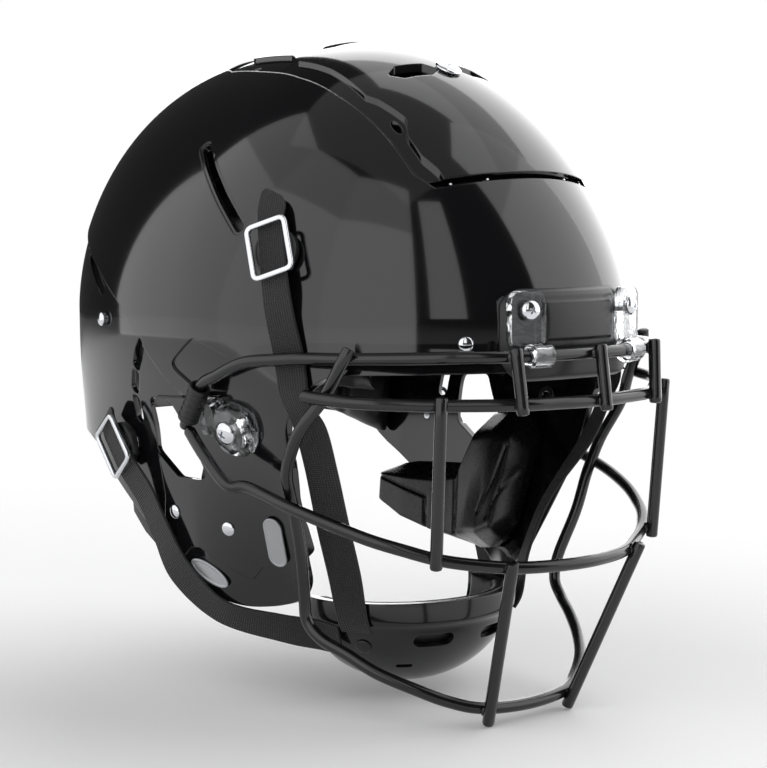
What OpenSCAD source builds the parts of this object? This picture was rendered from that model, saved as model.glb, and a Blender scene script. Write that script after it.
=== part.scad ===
// Football helmet: a moulded shell with a floating crown plate, a bolted wire face guard,
// an inner set of pads, and a hard chin cup on four straps that snap to the shell.
// Frame: +Z up, the wearer faces -Y, +X is the wearer's left, z = 0 under the face guard.
// Points along bars and straps are given for the wearer's left and mirrored for the right.

/* [Shell] */
// Width of the shell at its widest
shell_w = 232; // [224:1:242]
// Reach of the shell ahead of the ear line
shell_front = 150; // [145:1:156]
// Reach of the shell behind the ear line
shell_back = 162; // [156:1:170]
// Height of the crown over the widest level
crown_h = 130; // [125:1:136]
// Height of the widest level over the ground
mid_z = 187; // [182:1:192]
// Wall of the shell
wall = 4; // [3:0.25:5]
// How far the lower sides are drawn in at the ears
side_inset = 10; // [6:1:12]
// Height of the brow edge of the shell
brow_z = 164; // [160:1:166]
// Depth of the lower rear panels under the upper ones
panel_step = 1.5; // [1:0.1:2]

/* [Crown plate] */
// Half width of the recess that holds the crown plate, at its widest
recess_half_w = 54; // [50:1:57]
// Depth of the recess
recess = 4.5; // [4:0.25:5.5]
// Distance from the ear line back to the end of the recess
recess_back = 64; // [56:1:72]
// Thickness of the plate's flange
flange_t = 1.4; // [1.2:0.1:1.6]
// Free height under the plate
plate_float = 1.9; // [1.7:0.1:2.1]
// Gap along the plate's sides
plate_gap = 1.2; // [0.8:0.1:2]
// Level at which the recess ends at the front
recess_front_z = 247; // [244:1:250]
// Height of the slot ahead of the plate
front_slot = 3.6; // [3:0.2:5]

/* [Face guard] */
// Diameter of the coated steel bars
bar_d = 5.7; // [5.2:0.1:6.2]
// Gap between the brow of the shell and the upper bar
brow_gap = 7; // [6:0.25:9]
// Height of the upper brow bar
upper_bar_z = 173; // [171:1:175]
// Height of the lower brow bar
lower_bar_z = 152; // [148:0.5:156]
// Height of the mouth bar at the front
mouth_bar_z = 78; // [72:1:84]
// Height of the chin bar at the front
chin_bar_z = 7; // [6:0.5:9]
// How far the lower brow bar stands ahead of the upper one
lower_bar_reach = 4; // [3:0.5:7]

/* [Chin strap] */
// Width of the webbing
strap_w = 16; // [15:0.5:19]
// Thickness of the webbing
strap_t = 1.6; // [1.2:0.1:2]
// Diameter of a snap cap
cap_d = 22; // [20:0.5:24]
// Height of a snap cap
cap_h = 4.2; // [3.6:0.2:5]
// Inner length of a buckle frame
frame_l = 22.5; // [21:0.5:25]
// Thickness of a buckle frame
frame_t = 2.4; // [2:0.1:3]
// Half width of the chin cup
cup_half_w = 56; // [52:1:60]
// Depth of the chin cup, front to back
cup_depth = 46; // [42:1:50]
// Height of the chin cup below its rim
cup_h = 43; // [38:1:45]
// Wall of the chin cup
cup_wall = 3; // [2.5:0.25:4]

/* [Pads] */
// Thickness of the crown and side pads
pad_t = 20; // [16:1:24]
// Thickness of the jaw pads
jaw_pad_t = 36; // [30:1:40]
// Gap between a pad and the shell
pad_gap = 0.7; // [0.5:0.1:0.9]
// Thickness of the brow bumper
bumper_t = 4.5; // [3.5:0.25:5.5]

/* [Hidden] */

$fn = 32;

// Colours
black_gloss = "#1b1c1e";
black_satin = "#26272a";
black_soft = "#2d2e31";
steel_black = "#202124";
chrome = "#c9ccd0";
clear = [0.85, 0.88, 0.9, 0.5];
silver = "#b9bcc0";

// Shell form: each level is a superellipse, drawn in at the ears and tucked in at the jaw
skin_base = 38;         // level at which the uncut form ends
skin_steps = 48;        // facets around
drop_h = 135;           // height over which the lower part draws in
jaw_tuck = 21;          // inward bend of the jaw flaps at their lower front corner
jaw_level = 137;        // level at which that bend starts
jaw_drop = 73;          // height over which it grows
bar_r = bar_d / 2;
bore_gap = 0.5;         // gap between a bar and what is slipped over it

cap_lift = 1.2;         // gap under a snap cap
strap_lift = cap_lift + cap_h + strap_t / 2 + 0.5;      // webbing over a cap
free_lift = strap_t / 2 + 1.4;                          // webbing over the shell

function clamp01(v) = min(1, max(0, v));
function smooth(v) = let (c = clamp01(v)) c * c * (3 - 2 * c);
function mix(a, b, t) = a + (b - a) * t;
function unit(v) = v / norm(v);
function rise(z, o) = clamp01((z - mid_z) / (crown_h + o));
function drop(z) = max(0, (mid_z - z) / drop_h);
function low(z) = smooth((mid_z - 9 - z) / 50);
function half_w(z, o) = (shell_w / 2 + o) * pow(1 - pow(rise(z, o), 1.6), 0.5)
    * (1 - 0.1 * pow(drop(z), 2)) - side_inset * low(z);
function reach_f(z, o) = (shell_front + o) * pow(1 - pow(rise(z, o), 1.55), 0.48)
    * (1 - 0.1 * pow(drop(z), 2));
function reach_b(z, o) = (shell_back + o) * pow(1 - pow(rise(z, o), 2.4), 0.38)
    * (1 - 0.025 * pow(drop(z), 1.6));
function power(z, front) = front ? mix(2.03, 3.2, low(z)) : mix(2.3, 2.65, low(z));
function tuck(x, y, z) = jaw_tuck * pow(clamp01((jaw_level - z) / jaw_drop / 1.4) * 1.4, 1.25)
    * smooth((5 - y) / 60) * smooth(abs(x) / 70);

// Point on the form at angle a about the vertical and level z, with o added all over
function skin_point(a, z, o) = let (
        f = sin(a) < 0, n = power(z, f),
        k = pow(pow(abs(cos(a)), n) + pow(abs(sin(a)), n), -1 / n),
        x = half_w(z, o) * cos(a) * k,
        y = (f ? reach_f(z, o) : reach_b(z, o)) * sin(a) * k
    ) [x - sign(x) * tuck(x, y, z), y, z];

// Half width at y and z, front face at x and z, and top at x and y
function side_x(y, z, o) = let (
        n = power(z, y < 0), r = y < 0 ? reach_f(z, o) : reach_b(z, o),
        x = half_w(z, o) * pow(max(0, 1 - pow(abs(y / r), n)), 1 / n)
    ) x - tuck(x, y, z);
function front_y(x, z, o) = let (n = power(z, true))
    -reach_f(z, o) * pow(max(0, 1 - pow(abs(x / half_w(z, o)), n)), 1 / n);
function back_y(x, z, o) = let (n = power(z, false))
    reach_b(z, o) * pow(max(0, 1 - pow(abs(x / half_w(z, o)), n)), 1 / n);
function outside(x, y, z, o) = let (n = power(z, y < 0))
    pow(abs(x) / max(half_w(z, o), 0.01), n)
    + pow(abs(y) / max(y < 0 ? reach_f(z, o) : reach_b(z, o), 0.01), n) > 1;
function top_z(x, y, o, lo = -1, hi = -1, i = 22) =
    lo < 0 ? top_z(x, y, o, mid_z, mid_z + crown_h + o, i)
    : i == 0 ? (lo + hi) / 2
    : outside(x, y, (lo + hi) / 2, o) ? top_z(x, y, o, lo, (lo + hi) / 2, i - 1)
    : top_z(x, y, o, (lo + hi) / 2, hi, i - 1);

// Outward direction of the side at y and z, and of the top at x and y
function side_dir(y, z) = unit(cross(
    [side_x(y + 2, z, 0) - side_x(y - 2, z, 0), 4, 0],
    [side_x(y, z + 2, 0) - side_x(y, z - 2, 0), 0, 4]));
function side_tangent(y, z, d) = unit(
    [side_x(y + 2 * d[0], z + 2 * d[1], 0) - side_x(y - 2 * d[0], z - 2 * d[1], 0), 4 * d[0], 4 * d[1]]);
function top_dir(x, y) = unit([
    (top_z(x - 2, y, 0) - top_z(x + 2, y, 0)) / 4,
    (top_z(x, y - 2, 0) - top_z(x, y + 2, 0)) / 4, 1]);

// Levels of the rings of the form
function levels(o) = concat(
    [for (i = [0:12]) mix(skin_base, mid_z, i / 12)],
    [for (a = [8:8:80]) mid_z + (crown_h + o) * sin(a)]);

// The whole form as one closed solid
module skin(o) {
    zs = levels(o);
    n = len(zs);
    m = skin_steps;
    apex = [0, 0, mid_z + crown_h + o];
    points = concat(
        [for (z = zs) for (j = [0:m - 1]) skin_point(360 * j / m, z, o)],
        [[0, 0, zs[0]], apex]);
    sides = [for (i = [0:n - 2]) for (j = [0:m - 1]) let (
            a = i * m + j, b = i * m + (j + 1) % m)
        each [[a, a + m, b], [b, a + m, b + m]]];
    base = [for (j = [0:m - 1]) [n * m, j, (j + 1) % m]];
    cap = [for (j = [0:m - 1]) [n * m + 1, (n - 1) * m + (j + 1) % m, (n - 1) * m + j]];
    polyhedron(points, concat(sides, base, cap), convexity = 4);
}

// Closed solid between two grids of points of the same size
module between(inner, outer) {
    r = len(outer);
    c = len(outer[0]);
    k = r * c;
    points = concat([for (row = outer) each row], [for (row = inner) each row]);
    faces = [for (i = [0:r - 2]) for (j = [0:c - 2]) let (
            a = i * c + j, b = a + 1, d = a + c, e = d + 1)
        each [[a, b, d], [b, e, d], [k + a, k + d, k + b], [k + b, k + d, k + e]]];
    ends = [for (i = [0:r - 2]) let (a = i * c, b = a + c, e = a + c - 1, f = e + c)
        each [[a, b, k + a], [b, k + b, k + a], [e, k + e, f], [f, k + e, k + f]]];
    sides = [for (j = [0:c - 2]) let (a = j, b = j + 1, e = (r - 1) * c + j, f = e + 1)
        each [[a, k + a, b], [b, k + a, k + b], [e, f, k + e], [f, k + f, k + e]]];
    polyhedron(points, concat(faces, ends, sides), convexity = 6);
}

// Smooth path through points, with s steps between each two
function spline(p, s) = let (n = len(p)) concat([for (i = [0:n - 2]) let (
        a = p[max(0, i - 1)], b = p[i], c = p[i + 1], d = p[min(n - 1, i + 2)])
    each [for (k = [0:s - 1]) let (t = k / s)
        0.5 * (2 * b + (c - a) * t + (2 * a - 5 * b + 4 * c - d) * t * t
            + (3 * b - a - 3 * c + d) * t * t * t)]], [p[n - 1]]);
function flip(p) = [-p[0], p[1], p[2]];
function both(half) = concat([for (i = [len(half) - 1:-1:1]) flip(half[i])], half);

// Round bar along a path, as one closed solid
module bar(path, ref, r = bar_r, sides = 8) {
    n = len(path);
    points = [for (i = [0:n - 1]) let (
            t = unit(path[min(n - 1, i + 1)] - path[max(0, i - 1)]),
            u = unit(cross(t, ref)), v = cross(u, t))
        each [for (j = [0:sides - 1]) let (a = 360 * (j + 0.5) / sides)
            path[i] + r * (cos(a) * u + sin(a) * v)]];
    walls = [for (i = [0:n - 2]) for (j = [0:sides - 1]) let (
            a = i * sides + j, b = i * sides + (j + 1) % sides)
        each [[a, b, a + sides], [b, b + sides, a + sides]]];
    start = [[for (j = [sides - 1:-1:0]) j]];
    end = [[for (j = [0:sides - 1]) (n - 1) * sides + j]];
    polyhedron(points, concat(walls, start, end), convexity = 10);
}

// Flat webbing between two edge paths
module ribbon(edge_a, edge_b, t) {
    n = len(edge_a);
    points = [for (i = [0:n - 1]) let (
            i0 = max(0, i - 1), i1 = min(n - 1, i + 1),
            along = edge_a[i1] + edge_b[i1] - edge_a[i0] - edge_b[i0],
            up = unit(cross(edge_b[i] - edge_a[i], along)) * t / 2)
        each [edge_a[i] - up, edge_b[i] - up, edge_b[i] + up, edge_a[i] + up]];
    walls = [for (i = [0:n - 2]) for (j = [0:3]) let (
            a = i * 4 + j, b = i * 4 + (j + 1) % 4)
        each [[a, a + 4, b], [b, a + 4, b + 4]]];
    polyhedron(points, concat(walls, [[0, 1, 2], [0, 2, 3]],
        [[4 * n - 1, 4 * n - 2, 4 * n - 3], [4 * n - 1, 4 * n - 3, 4 * n - 4]]), convexity = 8);
}

// Frames for pieces that sit on the shell
module placed() { translate([0, origin_y, 0]) children(); }
module aim(p, d) { translate(p) rotate([0, acos(d[2]), atan2(d[1], d[0])]) children(); }
module on_side(y, z, o = 0) { aim([side_x(y, z, 0), y, z], side_dir(y, z)) translate([0, 0, o]) children(); }
module on_top(x, y, o = 0) { aim([x, y, top_z(x, y, 0)], top_dir(x, y)) translate([0, 0, o]) children(); }
module on_front(x, z, o = 0) {
    turn = atan2(front_y(x + 2, z, 0) - front_y(x - 2, z, 0), 4);
    translate([x, front_y(x, z, 0), z]) rotate([90, 0, turn]) translate([0, 0, o]) children();
}
module pair() { children(); mirror([1, 0, 0]) children(); }

// Outline of the face opening and the lower edge, seen from the side as y and z
lower_edge = [
    [-230, brow_z + 2], [-141, brow_z + 1], [-100, brow_z], [-90, brow_z - 1.5],
    [-82, brow_z - 7], [-73, brow_z - 17], [-68, 136], [-66, 118], [-59, 94], [-54, 76], [-50, 63],
    [-42, 54], [-34, 50.5], [-25, 49], [-17, 49], [-9, 51], [0, 55], [12, 61],
    [26, 69], [46, 84], [78, 106], [108, 121], [230, 131], [230, 10], [-230, 10]];
ear_hole = [[30, 147], [29, 121], [12, 109.5], [-12, 109.5], [11, 147]];
// Outline of the lower rear panel, which lies under the upper one along a rising line
rear_panel = [
    [-14, 149], [-5, 148.6], [9, 157], [21, 171], [43, 191], [70, 206], [113, 224], [230, 270],
    [230, 10], [34, 10], [30, 69], [24, 100], [27, 120], [28, 147]];

// Recess of the crown plate, seen from above; a level cut ends it at the front
recess_outline = [
    [0, -shell_front], [recess_half_w - 6, -shell_front], [recess_half_w - 6, -112],
    [recess_half_w, -101], [recess_half_w, -50], [recess_half_w - 2, -20],
    [recess_half_w - 7, 16], [recess_half_w - 13, recess_back - 18],
    [recess_half_w - 21, recess_back - 4], [0, recess_back]];
// Raised panel of the plate: its edge steps in and out along the flange
raised_outline = [
    [0, -shell_front], [recess_half_w - 9, -shell_front], [recess_half_w - 9, -108],
    [recess_half_w - 6, -100], [recess_half_w - 6, -90], [recess_half_w - 11, -85],
    [recess_half_w - 8, -68], [recess_half_w - 6, -62], [recess_half_w - 10, -33],
    [recess_half_w - 12, -6], [recess_half_w - 19, 6], [recess_half_w - 24, recess_back - 20],
    [0, recess_back - 10]];
function whole(half) = concat(half, [for (i = [len(half) - 2:-1:1]) [-half[i][0], half[i][1]]]);
// Everything over the outline and behind a plane that leans back from its front corners
front_corner_y = -112;
front_lean = 19;
module above(rise_z, outline, grow) {
    intersection() {
        translate([0, 0, mid_z + 20]) linear_extrude(crown_h) offset(delta = grow)
            polygon(whole(outline));
        translate([0, front_corner_y, recess_front_z + rise_z]) rotate([-front_lean, 0, 0])
            translate([-shell_w, -shell_w, 0]) cube([2 * shell_w, 2 * shell_w, 2 * crown_h]);
    }
}
module recess_area(grow) { above(-grow, recess_outline, grow); }
module plate_area() { above(front_slot, recess_outline, -plate_gap); }
plate_under = -recess + plate_float;
flange_top = plate_under + flange_t;
panel_top = 1.2;

// Vents: long six-sided holes, seen from above
vent_pos = [[19, -63, 26, 11, 14], [16, -8, 22, 8, 4]];
module vent(v, grow) {
    translate([v[0], v[1], mid_z + 40]) rotate(v[4]) linear_extrude(crown_h) hull() {
        square([v[2] - v[3] + 2 * grow, v[3] + 2 * grow], center = true);
        square([v[2] + 2 * grow, 2], center = true);
    }
}
module vents(grow) { pair() for (v = vent_pos) vent(v, grow); }

// Straight slot cut square to the side, between two places given as y and z
module side_slot(p, q, w, depth = 14) {
    hull() for (c = [p, q]) on_side(c[0], c[1], -depth) cylinder(d = w, h = 2 * depth, $fn = 16);
}
// Shallow pocket behind the end of the guard, and a lowered edge on the jaw flap
pocket_d = 1.1;
bar_pocket = [[-17, 178], [3, 164], [-13, 153.5], [-36, 154], [-44, 168]];
flap_panel = [
    [15, 70], [8, 75.5], [1, 76.5], [-9, 71], [-20, 64.5], [-24, 62.5], [-32, 71], [-44, 66],
    [-44, 40], [15, 40]];
shank_d = 4;
module side_area(outline) {
    rotate([90, 0, 90]) translate([0, 0, -shell_w]) linear_extrude(2 * shell_w) polygon(outline);
}
scoop = [[9, 265], [-5, 254], [-20, 242], [-36, 229]];
rear_slot = [[94, 214], [66, 197]];
louvre = [[[25, 173], [33, 162]], [[36, 157], [40, 150]], [[42, 144], [42, 136]]];

module shell() {
    color(black_gloss) placed() difference() {
        skin(0);
        difference() { skin(-wall); recess_area(wall); }
        skin(-recess - wall);
        difference() { recess_area(0); skin(-recess); }
        difference() { side_area(rear_panel); skin(-panel_step); }
        side_area(lower_edge);
        side_area(ear_hole);
        vents(-1);
        pair() {
            for (i = [0:2]) side_slot(scoop[i], scoop[i + 1], 5);
            side_slot(rear_slot[0], rear_slot[1], 5);
            for (s = louvre) side_slot(s[0], s[1], 6);
        }
        on_top(0, badge_y, -recess - wall - 4) cylinder(d = screw_hole_d, h = 12);
        pair() {
            difference() { side_area(bar_pocket); skin(-pocket_d); }
            difference() { side_area(flap_panel); skin(-pocket_d); }
            on_front(clip_x, brow_clip_z, -12) cylinder(d = screw_d + 0.6, h = 24);
            on_front(brow_rivet[0], brow_rivet[1], -12) cylinder(d = shank_d + 0.4, h = 24);
            for (p = concat(rivet_pos, [rear_rivet, upper_snap, lower_snap]))
                on_side(p[0], p[1], -12) cylinder(d = shank_d + 0.4, h = 24);
            on_side(side_screw[0], side_screw[1], -12) cylinder(d = screw_d + 0.6, h = 24);
        }
    }
}

// Crown plate, its cushions and its screws
badge_y = -66;
screw_hole_d = 6.4;
cushion_d = 10;
cushion_pos = [[30, -88], [38, -40], [30, 10], [16, 40], [12, -30]];
module crown_plate() {
    color(black_gloss) placed() difference() {
        union() {
            difference() {
                intersection() { skin(flange_top); plate_area(); }
                skin(plate_under);
            }
            difference() {
                intersection() {
                    skin(panel_top);
                    above(front_slot, raised_outline, 0);
                }
                skin(plate_under);
            }
        }
        vents(0);
        translate([0, badge_y, mid_z + 40]) cylinder(d = screw_hole_d + 2.4, h = crown_h);
        pair() hull() for (y = [-84, -80]) translate([recess_half_w - 7, y, mid_z + 40])
            cylinder(d = 3.2, h = crown_h, $fn = 16);
        pair() hull() for (y = [24, 28]) translate([recess_half_w - 13, y, mid_z + 40])
            cylinder(d = 3.2, h = crown_h, $fn = 16);
    }
}
module plate_cushions() {
    color(black_soft) placed() pair() for (p = cushion_pos)
        on_top(p[0], p[1], -recess + 0.4) cylinder(d = cushion_d, h = plate_float - 1);
}
module badge_screw() {
    color(chrome) placed() on_top(0, badge_y, 0) {
        translate([0, 0, panel_top + 0.4]) cylinder(d = 13, h = 2.2);
        translate([0, 0, -recess - wall - 3])
            cylinder(d = screw_hole_d - 0.6, h = recess + wall + 3 + panel_top + 0.4);
        translate([0, 0, -recess - wall - 4.4]) cylinder(d = 10, h = 3);
    }
}
// Level at which the front slot meets the form, 30 percent of the way up the slot
function lip_z(x, z = recess_front_z, i = 5) = i == 0 ? z : lip_z(x,
    recess_front_z + front_slot * 0.3 + tan(front_lean) * (front_corner_y - front_y(x, z, 0)), i - 1);
module plate_pins() {
    color(chrome) placed() for (x = [-42, -25, 25, 42])
        aim([x, front_y(x, lip_z(x), 0), lip_z(x)], [0, -cos(front_lean), sin(front_lean)])
            translate([0, 0, -recess - 1.5]) cylinder(d = 1.4, h = recess + 0.9);
}

// Bumpers at the brow and the nape
bumper_half_w = 40;
bumper_z = [brow_z - 3, 202];
module brow_bumper() {
    n = 12;
    m = 5;
    grid = function (o, edge) [for (i = [0:m]) [for (j = [0:n]) let (
            z = mix(bumper_z[0], bumper_z[1], i / m),
            x = mix(-bumper_half_w, bumper_half_w, j / n) * (1 - 0.06 * pow(abs(2 * i / m - 1), 3)),
            e = edge * (1 - pow(abs(2 * j / n - 1), 8)) * (1 - 0.5 * pow(abs(2 * i / m - 1), 4)))
        [x, front_y(x, z, 0.4 + o * e), z]]];
    color(black_satin) placed() difference() {
        between(grid(0, 0), grid(bumper_t, 1));
        pair() on_front(clip_x, brow_clip_z, -2) cylinder(d = screw_d + 0.6, h = 12);
    }
}
rear_z = [mid_z - 51, mid_z - 35];
rear_t = 2.6;
module rear_bumper() {
    n = 16;
    half = 62;
    grid = function (o) [for (i = [0:3]) [for (j = [0:n]) let (
            z = mix(rear_z[0], rear_z[1], i / 3), x = mix(half, -half, j / n))
        [x, back_y(x, z, o), z]]];
    color(black_satin) placed() between(grid(0.25 - panel_step), grid(rear_t));
}

// Face guard. Each half path runs from the middle to the wearer's left. Bars that cross lie
// one ahead of the other and are welded where they touch
weld = 0.45;
step = bar_d - weld;
// Half width of the shell at the cheeks; where a bar's stations give x, it is a share of this
cheek_w = shell_w / 2 - side_inset;
function ahead(half, x) = let (
        i = [for (k = [0:len(half) - 2]) if (half[k][0] <= x && x < half[k + 1][0]) k][0],
        t = (x - half[i][0]) / (half[i + 1][0] - half[i][0]),
        p = mix(half[i], half[i + 1], t), d = unit(half[i + 1] - half[i]))
    p + step * unit([d[1], -d[0], 0]);
bar_front_y = front_y(0, mid_z, 0) - bar_r - brow_gap;
sleeve_mid = [side_x(-20, 148, 0) + bar_r + 5.2, -20, 148];
sleeve_dir = unit([2.2, -13, 17]);
sleeve_l = 20;
bar_tip = sleeve_mid - (sleeve_l / 2 + 5.5) * sleeve_dir;
// The webbing passes between the bar and the side of the shell
bar_off = free_lift + strap_t / 2 + 0.5 + bar_r;
upper_half = [
    [0, bar_front_y, upper_bar_z], [0.226 * cheek_w, bar_front_y + 2, upper_bar_z],
    [0.434 * cheek_w, bar_front_y + 8, upper_bar_z], [0.585 * cheek_w, bar_front_y + 18, upper_bar_z],
    [0.708 * cheek_w, bar_front_y + 31, upper_bar_z - 0.5],
    [0.802 * cheek_w, bar_front_y + 45, upper_bar_z - 1],
    [0.896 * cheek_w, bar_front_y + 61, upper_bar_z - 1.5],
    over_side(bar_front_y + 78, upper_bar_z - 2.5, bar_off),
    over_side(bar_front_y + 90, upper_bar_z - 3, bar_off),
    over_side(bar_front_y + 107, upper_bar_z - 4.5, bar_off),
    over_side(bar_front_y + 122, upper_bar_z - 10, bar_off),
    sleeve_mid + sleeve_l / 2 * sleeve_dir, bar_tip];
rod_top = ahead(upper_half, 0.887 * cheek_w);
lower_front_y = bar_front_y - lower_bar_reach;
lower_half = [
    [0, lower_front_y, lower_bar_z], [0.226 * cheek_w, lower_front_y + 3.5, lower_bar_z],
    [0.425 * cheek_w, lower_front_y + 9.5, lower_bar_z],
    [0.651 * cheek_w, lower_front_y + 27.5, lower_bar_z],
    [0.792 * cheek_w, lower_front_y + 39, lower_bar_z + 0.5],
    [0.934 * cheek_w, lower_front_y + 54, lower_bar_z + 1.5],
    [0.991 * cheek_w, lower_front_y + 68.5, lower_bar_z + 2.5],
    [1.014 * cheek_w, lower_front_y + 77, lower_bar_z + 3.5]];
mouth_front_y = bar_front_y + 3;
mouth_half = [
    [0, mouth_front_y, mouth_bar_z], [0.189 * cheek_w, mouth_front_y + 3, mouth_bar_z],
    [0.34 * cheek_w, mouth_front_y + 8, mouth_bar_z + 0.5],
    [0.472 * cheek_w, mouth_front_y + 15.5, mouth_bar_z + 2],
    [0.623 * cheek_w, mouth_front_y + 25, mouth_bar_z + 5],
    [0.755 * cheek_w, mouth_front_y + 36, mouth_bar_z + 10],
    [0.84 * cheek_w, mouth_front_y + 47, mouth_bar_z + 14],
    [0.925 * cheek_w, mouth_front_y + 63, mouth_bar_z + 20],
    [0.991 * cheek_w, mouth_front_y + 84, mouth_bar_z + 26.5],
    [1.024 * cheek_w, mouth_front_y + 108, mouth_bar_z + 33],
    [1.066 * cheek_w, mouth_front_y + 117, mouth_bar_z + 33.5], bar_tip + [0, -15, -12],
    bar_tip + [0, -3, -0.6]];
chin_front_y = bar_front_y + 38;
chin_half = [
    [0, chin_front_y, chin_bar_z], [0.255 * cheek_w, chin_front_y + 2.5, chin_bar_z + 1.5],
    [0.396 * cheek_w, chin_front_y + 10, chin_bar_z + 5.5],
    [0.524 * cheek_w, chin_front_y + 19, chin_bar_z + 12],
    [0.632 * cheek_w, chin_front_y + 31.5, chin_bar_z + 19],
    [0.703 * cheek_w, chin_front_y + 44, chin_bar_z + 27],
    [0.755 * cheek_w, chin_front_y + 55, chin_bar_z + 33],
    [0.778 * cheek_w, chin_front_y + 62, chin_bar_z + 41],
    [0.797 * cheek_w, chin_front_y + 61.5, chin_bar_z + 53],
    [0.863 * cheek_w, chin_front_y + 56, chin_bar_z + 75.5],
    [0.91 * cheek_w, chin_front_y + 54, chin_bar_z + 93],
    [0.943 * cheek_w, chin_front_y + 53, chin_bar_z + 102],
    [0.981 * cheek_w, chin_front_y + 50, chin_bar_z + 114],
    [cheek_w, chin_front_y + 39, chin_bar_z + 132],
    [0.948 * cheek_w, chin_front_y + 29, chin_bar_z + 147],
    rod_top - [0, 0, 1], rod_top + [-2.2, -2.4, 5]];
module upper_brow_bar() { color(steel_black) placed() bar(both(spline(upper_half, 2)), [0, 0, 1]); }
module lower_brow_bar() { color(steel_black) placed() bar(both(spline(lower_half, 2)), [0, 0, 1]); }
module mouth_bar() { color(steel_black) placed() bar(both(spline(mouth_half, 2)), [0.01, 0.3, 1]); }
module chin_bar() { color(steel_black) placed() bar(both(spline(chin_half, 2)), [0, 1, 0.2]); }

// Shift that puts the origin under the middle of the whole helmet, from the foremost strut
// to the rear bumper
origin_y = (step + bar_r - lower_front_y - back_y(0, rear_z[1], rear_t)) / 2;

// Straight bars are true cylinders between two points
module rod(a, b) { aim(a, unit(b - a)) cylinder(r = bar_r, h = norm(b - a)); }
module brow_struts() {
    over = [0, 0, bar_r + 1.5];
    color(steel_black) placed() {
        rod(ahead(upper_half, 0) + over, ahead(lower_half, 0) - over);
        pair() rod(ahead(upper_half, 0.415 * cheek_w) + over, ahead(lower_half, 0.396 * cheek_w) - over);
    }
}
module eye_guards() {
    over = [0, 0, bar_r + 1.5];
    color(steel_black) placed() pair()
        rod(ahead(lower_half, 0.66 * cheek_w) + over, ahead(mouth_half, 0.642 * cheek_w) - over);
}
module chin_struts() {
    top = ahead(mouth_half, 0.368 * cheek_w);
    foot = chin_half[1] - step * [0, 0.75, 0.6];
    d = unit(top - foot);
    // The struts stand on the ground plane
    past = (foot[2] - bar_r * sqrt(1 - d[2] * d[2])) / d[2];
    color(steel_black) placed() pair() rod(top + 3.5 * d, foot - past * d);
}
sleeve_wall = 1.7;
module bar_sleeves() {
    color(black_satin) placed() pair()
        aim(sleeve_mid - sleeve_l / 2 * sleeve_dir, sleeve_dir) difference() {
            cylinder(r = bar_r + bore_gap + sleeve_wall, h = sleeve_l);
            translate([0, 0, -1]) cylinder(r = bar_r + bore_gap, h = sleeve_l + 2);
        }
}

// Clips that bolt the guard to the shell
clip_w = 20;
clip_t = 4;
clip_wall = 2.6;
screw_d = 4.8;
brow_clip_z = 193;
clip_seat = bumper_t + 0.9;
// The clip loops round the straight length of the upper bar beside the middle
upper_path = spline(upper_half, 2);
loop_a = upper_path[2];
loop_b = upper_path[3];
loop_dir = unit(loop_b - loop_a);
loop_l = norm(loop_b - loop_a) - 0.6;
loop_mid = (loop_a + loop_b) / 2;
clip_x = loop_mid[0];
module brow_clip() {
    low_y = upper_bar_z - brow_clip_z + bar_r + 1;
    difference() {
        union() {
            on_front(clip_x, brow_clip_z, clip_seat) {
                cylinder(d = 17, h = clip_t);
                translate([-clip_w / 2 + 2, low_y, 0]) cube([clip_w, -low_y - 3, clip_t]);
            }
            aim(loop_mid - loop_dir * loop_l / 2, loop_dir) cylinder(r = bar_r + clip_wall, h = loop_l);
        }
        on_front(clip_x, brow_clip_z, clip_seat - 1) cylinder(d = screw_d + 0.6, h = clip_t + 2);
        aim(loop_mid - loop_dir * 15, loop_dir) cylinder(r = bar_r + bore_gap, h = 30);
    }
}
module brow_clip_left() { color(clear) placed() brow_clip(); }
module brow_clip_right() { color(clear) placed() mirror([1, 0, 0]) brow_clip(); }
module brow_screws() {
    color(chrome) placed() pair() on_front(clip_x, brow_clip_z, clip_seat) {
        translate([0, 0, clip_t + 0.05]) cylinder(d = 9, h = 2.4);
        translate([0, 0, -clip_seat - wall - nut_gap - nut_t]) cylinder(d = screw_d,
            h = clip_seat + wall + nut_gap + nut_t + clip_t + 0.1);
    }
}
side_screw = [-38, 137];
clip_h = 7;
module side_clip() {
    grip = bar_r + bore_gap + sleeve_wall + 0.3;
    tail = mouth_half[len(mouth_half) - 2];
    difference() {
        union() {
            on_side(side_screw[0], side_screw[1], 0.5) cylinder(d1 = 27, d2 = 21, h = clip_h);
            on_side(side_screw[0] + 9, side_screw[1] + 5, 0.5)
                translate([-9, -1, 0]) cube([16, 10, clip_h]);
        }
        on_side(side_screw[0], side_screw[1], -1) cylinder(d = screw_d + 0.6, h = 12);
        aim(sleeve_mid - sleeve_l * sleeve_dir, sleeve_dir) cylinder(r = grip, h = 2 * sleeve_l);
        aim(tail, unit(bar_tip - tail)) translate([0, 0, -8]) cylinder(r = bar_r + 0.9, h = 30);
        skin(0.4);
    }
}
module side_clip_left() { color(clear) placed() side_clip(); }
module side_clip_right() { color(clear) placed() mirror([1, 0, 0]) side_clip(); }
module side_screws() {
    color(chrome) placed() pair() on_side(side_screw[0], side_screw[1], 0) {
        translate([0, 0, clip_h + 0.55]) cylinder(d = 12, h = 2.6);
        translate([0, 0, -wall - nut_gap - nut_t])
            cylinder(d = screw_d, h = wall + nut_gap + nut_t + clip_h + 0.6);
    }
}
nut_t = 1.4;
nut_gap = 1.75;
module nut() {
    translate([0, 0, -wall - nut_gap - nut_t]) difference() {
        cylinder(d = 11, h = nut_t);
        translate([0, 0, -1]) cylinder(d = screw_d + 0.2, h = nut_t + 2);
    }
}
module clip_nuts() {
    color(chrome) placed() pair() {
        on_front(clip_x, brow_clip_z, 0) nut();
        on_side(side_screw[0], side_screw[1], 0) nut();
    }
}

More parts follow.
